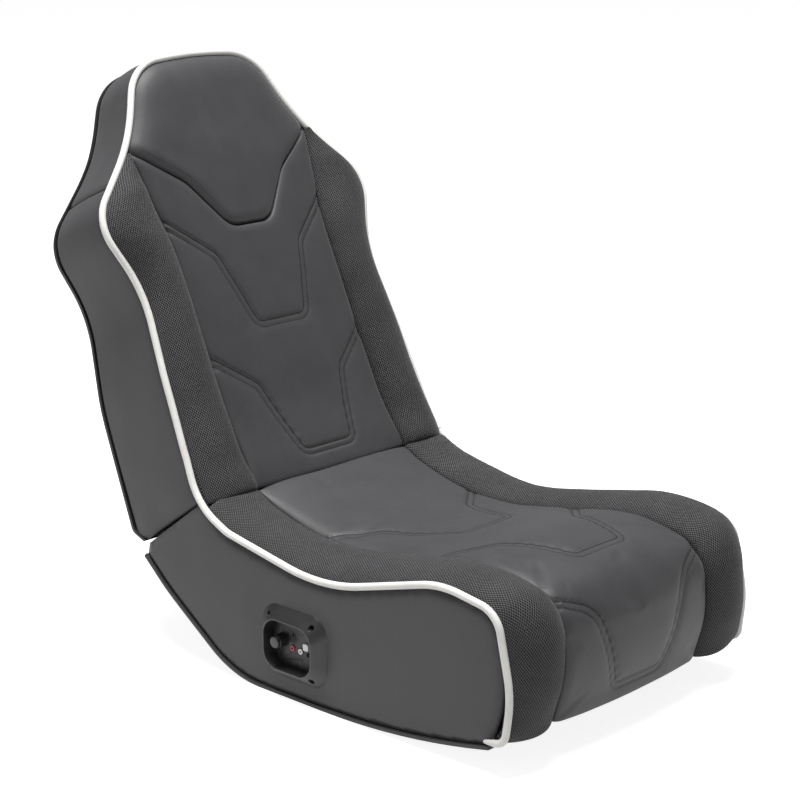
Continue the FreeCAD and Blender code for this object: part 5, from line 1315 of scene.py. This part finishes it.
class ROCKER_OT_stitches(bpy.types.Operator):
    """Stitches along the chevrons and the yoke seam"""

    bl_idname = "rocker.stitches"
    bl_label = "Stitches"

    def execute(self, context):
        sizes = context.scene.rocker_sizes
        thread = finishes(context.scene)["thread"]
        tree = stitch_tree()
        band = sizes.band_width / MM
        yoke = Line(rounded(YOKE)).shifted(-4.5)
        made = [
            ("seat_stitches", "seat", self.sewn(seat_chevron_lines(), band), "seat_cushion_cover"),
            ("back_stitches", "backrest", self.sewn(back_chevron_lines(), band), "back_cushion_cover"),
            (
                "head_stitches", "backrest", [yoke.at(np.arange(16, yoke.length - 16, 1.5))],
                "head_cushion_cover",
            ),
        ]
        for name, body, runs, cover_name in made:
            cover = context.scene.objects[cover_name]
            points, edges = [], []
            for run in runs:
                first = len(points)
                for spot in self.outside(body, run):
                    _, place, normal, _ = cover.closest_point_on_mesh(Vector(spot * MM))
                    points.append(place + normal * 0.00012)
                edges.extend((first + k, first + k + 1) for k in range(len(run) - 1))
            mesh = bpy.data.meshes.new(name)
            mesh.from_pydata(points, edges, [])
            obj = placed(name, mesh)
            modifier = obj.modifiers.new("Stitches", "NODES")
            modifier.node_group = tree
            wanted = {"Stitch Length": sizes.stitch_length, "Stitch Spacing": sizes.stitch_spacing,
                      "Thread": sizes.thread, "Material": thread}
            for item in tree.interface.items_tree:
                if item.in_out == "INPUT" and item.name in wanted:
                    modifier[item.identifier] = wanted[item.name]
            baked(obj)
            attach(obj, body)
        return {"FINISHED"}

    def sewn(self, lines, band):
        """Points of both sewn lines of each chevron, a step of 1.5 mm apart and 3 mm short of the seams."""
        both = [line.shifted(shift) for line in lines for shift in (0.0, band)]
        return [line.at(np.arange(3, line.length - 3, 1.5)) for line in both]

    def outside(self, body, at):
        """Points outside the covers of a body, from which the stitches drop onto them."""
        if body == "backrest":
            return on_back(at[:, 0], -STITCH_DROP, at[:, 1])
        spots, up = seat_frame(at[:, 1])
        spots = spots + STITCH_DROP * up
        return np.stack([at[:, 0], spots[:, 0], spots[:, 1]], -1)


# Boards with the lining's dark finish: those that the linings lie on, and the side boards, which show in the
# crease
COVERED_BOARDS = (
    "back_front_board", "seat_rear_rail", "back_foot_rail", "seat_side_board_left", "seat_side_board_right",
)


def body_named(node):
    """The body that carries a CAD node."""
    bodies = frame["record"]["behaviour"]["bodies"]
    return next(name for name, nodes in bodies.items() if node in nodes)


class ROCKER_OT_boards(bpy.types.Operator):
    """Lacquered base board and rear panel with eased edges, and the raw boards inside"""

    bl_idname = "rocker.boards"
    bl_label = "Boards"

    def execute(self, context):
        made = finishes(context.scene)
        base = softened("rocker_base", "lacquered_base_board", 0.8)
        settle(base, "seat", made["lacquer"], ["rocker_base"])
        panel = self.rear_panel()
        settle(panel, "backrest", made["lacquer"], ["rear_panel"])
        for part in frame["record"]["subparts"]:
            if part["material_slot"] == "board":
                finish = "lining" if part["node"] in COVERED_BOARDS else "fibreboard"
                dress(frame["nodes"][part["node"]].data, made[finish])
        return {"FINISHED"}

    def rear_panel(self):
        """The bent board behind the back, which follows the back's outline and its rear line."""
        line = back_side_line().shifted(-1.2)
        edge = line.at(np.linspace(0, line.length - 0.6, 190))
        rear = rounded(REAR_LINE)
        depth = np.interp(edge[:, 1], rear[:, 1], rear[:, 0])
        share = 2 * crowded(60) - 1
        x = edge[:, 0][:, None] * share[None, :]
        height = np.broadcast_to(edge[:, 1][:, None], x.shape)
        faces = []
        for shift in (0.0, 5.0):
            faces.append(on_back(x, depth[:, None] - shift, height))
        obj = pad("lacquered_rear_panel", faces[0], faces[1], np.stack([x, height], -1))
        eased(obj, 0.8, 50.0)
        return obj


class ROCKER_OT_control_panel(bpy.types.Operator):
    """Control panel: housing, screws, plate, knob, sockets, button and inlet"""

    bl_idname = "rocker.control_panel"
    bl_label = "Control Panel"

    def execute(self, context):
        made = finishes(context.scene)
        pieces = [
            ("control_bezel", "panel_housing", 0.7, "housing", "bezel_plastic"),
            ("control_plate", "panel_plate", 0.3, "plate", "black_plastic"),
            ("volume_knob", "ribbed_knob", 0.35, "knob", "knob_plastic"),
            ("audio_jack_red", "red_socket", 0.25, "red", "red_plastic"),
            ("audio_jack_white", "white_socket", 0.25, "white", "white_plastic"),
            ("push_button", "square_button", 0.5, "white", "white_plastic"),
            ("headphone_jack", "headphone_socket_ring", 0.2, "plate", "black_plastic"),
            ("power_inlet", "power_socket", 0.25, "plate", "black_plastic"),
            ("indicator_lens", "indicator_window", 0.2, "lens", "lens"),
            ("bezel_screws", "housing_screws", 0.15, "black_steel", "black_screw"),
        ]
        for node, name, width, finish, slot in pieces:
            obj = softened(node, name, width)
            settle(obj, body_named(node), made[finish], [node])
        return {"FINISHED"}


class ROCKER_OT_hardware(bpy.types.Operator):
    """Hinges, speakers, rear screws and electronics"""

    bl_idname = "rocker.hardware"
    bl_label = "Hardware"

    def execute(self, context):
        made = finishes(context.scene)
        names = {
            "steel": "zinc", "black_screw": "black_steel", "black_plastic": "plate", "cone": "cone",
            "circuit_board": "circuit",
        }
        for part in frame["record"]["subparts"]:
            finish = names.get(part["material_slot"])
            node = frame["nodes"][part["node"]]
            if finish and not node.hide_render:
                dress(node.data, made[finish])
        return {"FINISHED"}


class ROCKER_OT_stage(bpy.types.Operator):
    """Pale floor, soft studio lamps and the camera"""

    bl_idname = "rocker.stage"
    bl_label = "Stage"

    def execute(self, context):
        scene = context.scene
        corners = [(x * FLOOR_REACH, y * FLOOR_REACH, -0.2) for x, y in ((-1, -1), (1, -1), (1, 1), (-1, 1))]
        floor = mesh_object("floor", corners, [(0, 1, 2, 3)])
        material, tree, place = new_material("painted_floor")
        cloud = add(tree, "ShaderNodeTexNoise", {"Scale": 3.0, "Detail": 2.0}, {"Vector": place["Object"]})
        tone = add(tree, "ShaderNodeValToRGB", links={"Fac": cloud})
        for stop, grey in zip(tone.color_ramp.elements, (0.5, 0.54)):
            stop.color = solid([grey] * 3)
        rays = add(tree, "ShaderNodeLightPath").outputs
        seen = {0: rays["Is Camera Ray"], 1: rays["Is Glossy Ray"]}
        seen = add(tree, "ShaderNodeMath", links=seen, operation="MAXIMUM")
        glow = add(tree, "ShaderNodeMath", {1: 0.86}, {0: seen}, operation="MULTIPLY")
        shaded(material, {"Roughness": 0.9, "Specular IOR Level": 0.1, "Emission Color": (1, 1, 1, 1)},
               {"Base Color": tone, "Emission Strength": glow})
        floor.data.materials.append(material)

        world = bpy.data.worlds.new("studio")
        world.use_nodes = True
        tree = world.node_tree
        tree.nodes.clear()
        rays = add(tree, "ShaderNodeLightPath").outputs
        soft = add(tree, "ShaderNodeBackground", {"Color": (1, 1, 1, 1), "Strength": 0.21})
        white = add(tree, "ShaderNodeBackground", {"Color": (1, 1, 1, 1), "Strength": 1.0})
        seen = {0: rays["Is Camera Ray"], 1: rays["Is Transmission Ray"]}
        seen = add(tree, "ShaderNodeMath", links=seen, operation="MAXIMUM")
        mixed = add(tree, "ShaderNodeMixShader", links={0: seen, 1: soft, 2: white})
        add(tree, "ShaderNodeOutputWorld", links={"Surface": mixed})
        scene.world = world

        for name, place, size, power in (
            ("top_lamp", (-0.2, 0.1, 4.4), 2.6, 300),
            ("side_lamp", (-3.2, 0.5, 1.5), 1.8, 12),
            ("front_lamp", (-0.6, -3.6, 1.0), 1.8, 3),
        ):
            data = bpy.data.lights.new(name, "AREA")
            data.shape = "DISK"
            data.size = size
            data.energy = power
            lamp = placed(name, data)
            lamp.location = place
            lamp.rotation_euler = (Vector((0, 0, 0.3)) - Vector(place)).to_track_quat("-Z", "Y").to_euler()

        data = bpy.data.cameras.new("camera")
        data.sensor_width = 36.0
        data.lens = 99.0
        camera = placed("camera", data)
        camera.location = (-2.124, -2.015, 1.148)
        aim = Vector((0.0046, -0.018, 0.354)) - camera.location
        camera.rotation_euler = aim.to_track_quat("-Z", "Y").to_euler()
        scene.camera = camera
        scene.view_settings.view_transform = "Standard"
        return {"FINISHED"}


OPERATORS = (
    ROCKER_OT_seat_cushion,
    ROCKER_OT_seat_bolsters,
    ROCKER_OT_back_cushions,
    ROCKER_OT_back_bolsters,
    ROCKER_OT_side_covers,
    ROCKER_OT_piping,
    ROCKER_OT_linings,
    ROCKER_OT_stitches,
    ROCKER_OT_boards,
    ROCKER_OT_control_panel,
    ROCKER_OT_hardware,
    ROCKER_OT_stage,
)


class ROCKER_PT_sidebar(bpy.types.Panel):
    """Sizes, colours and pieces of the rocker chair"""

    bl_idname = "ROCKER_PT_sidebar"
    bl_label = "Rocker Chair"
    bl_space_type = "VIEW_3D"
    bl_region_type = "UI"
    bl_category = "Rocker Chair"

    def draw(self, context):
        layout = self.layout
        for group in (context.scene.rocker_sizes, context.scene.rocker_colours):
            column = layout.column()
            for name in group.__annotations__:
                column.prop(group, name)
        for operator in OPERATORS:
            layout.operator(operator.bl_idname)


CLASSES = (RockerSizes, RockerColours, *OPERATORS, ROCKER_PT_sidebar)


def register():
    """Registers the classes and the scene's properties."""
    for made in CLASSES:
        bpy.utils.register_class(made)
    bpy.types.Scene.rocker_sizes = bpy.props.PointerProperty(type=RockerSizes)
    bpy.types.Scene.rocker_colours = bpy.props.PointerProperty(type=RockerColours)


def unregister():
    """Takes the classes and properties away again."""
    del bpy.types.Scene.rocker_colours
    del bpy.types.Scene.rocker_sizes
    for made in reversed(CLASSES):
        bpy.utils.unregister_class(made)


def main():
    """Makes every piece."""
    register()
    for operator in OPERATORS:
        group, name = operator.bl_idname.split(".")
        getattr(getattr(bpy.ops, group), name)()


if __name__ == "__main__":
    main()
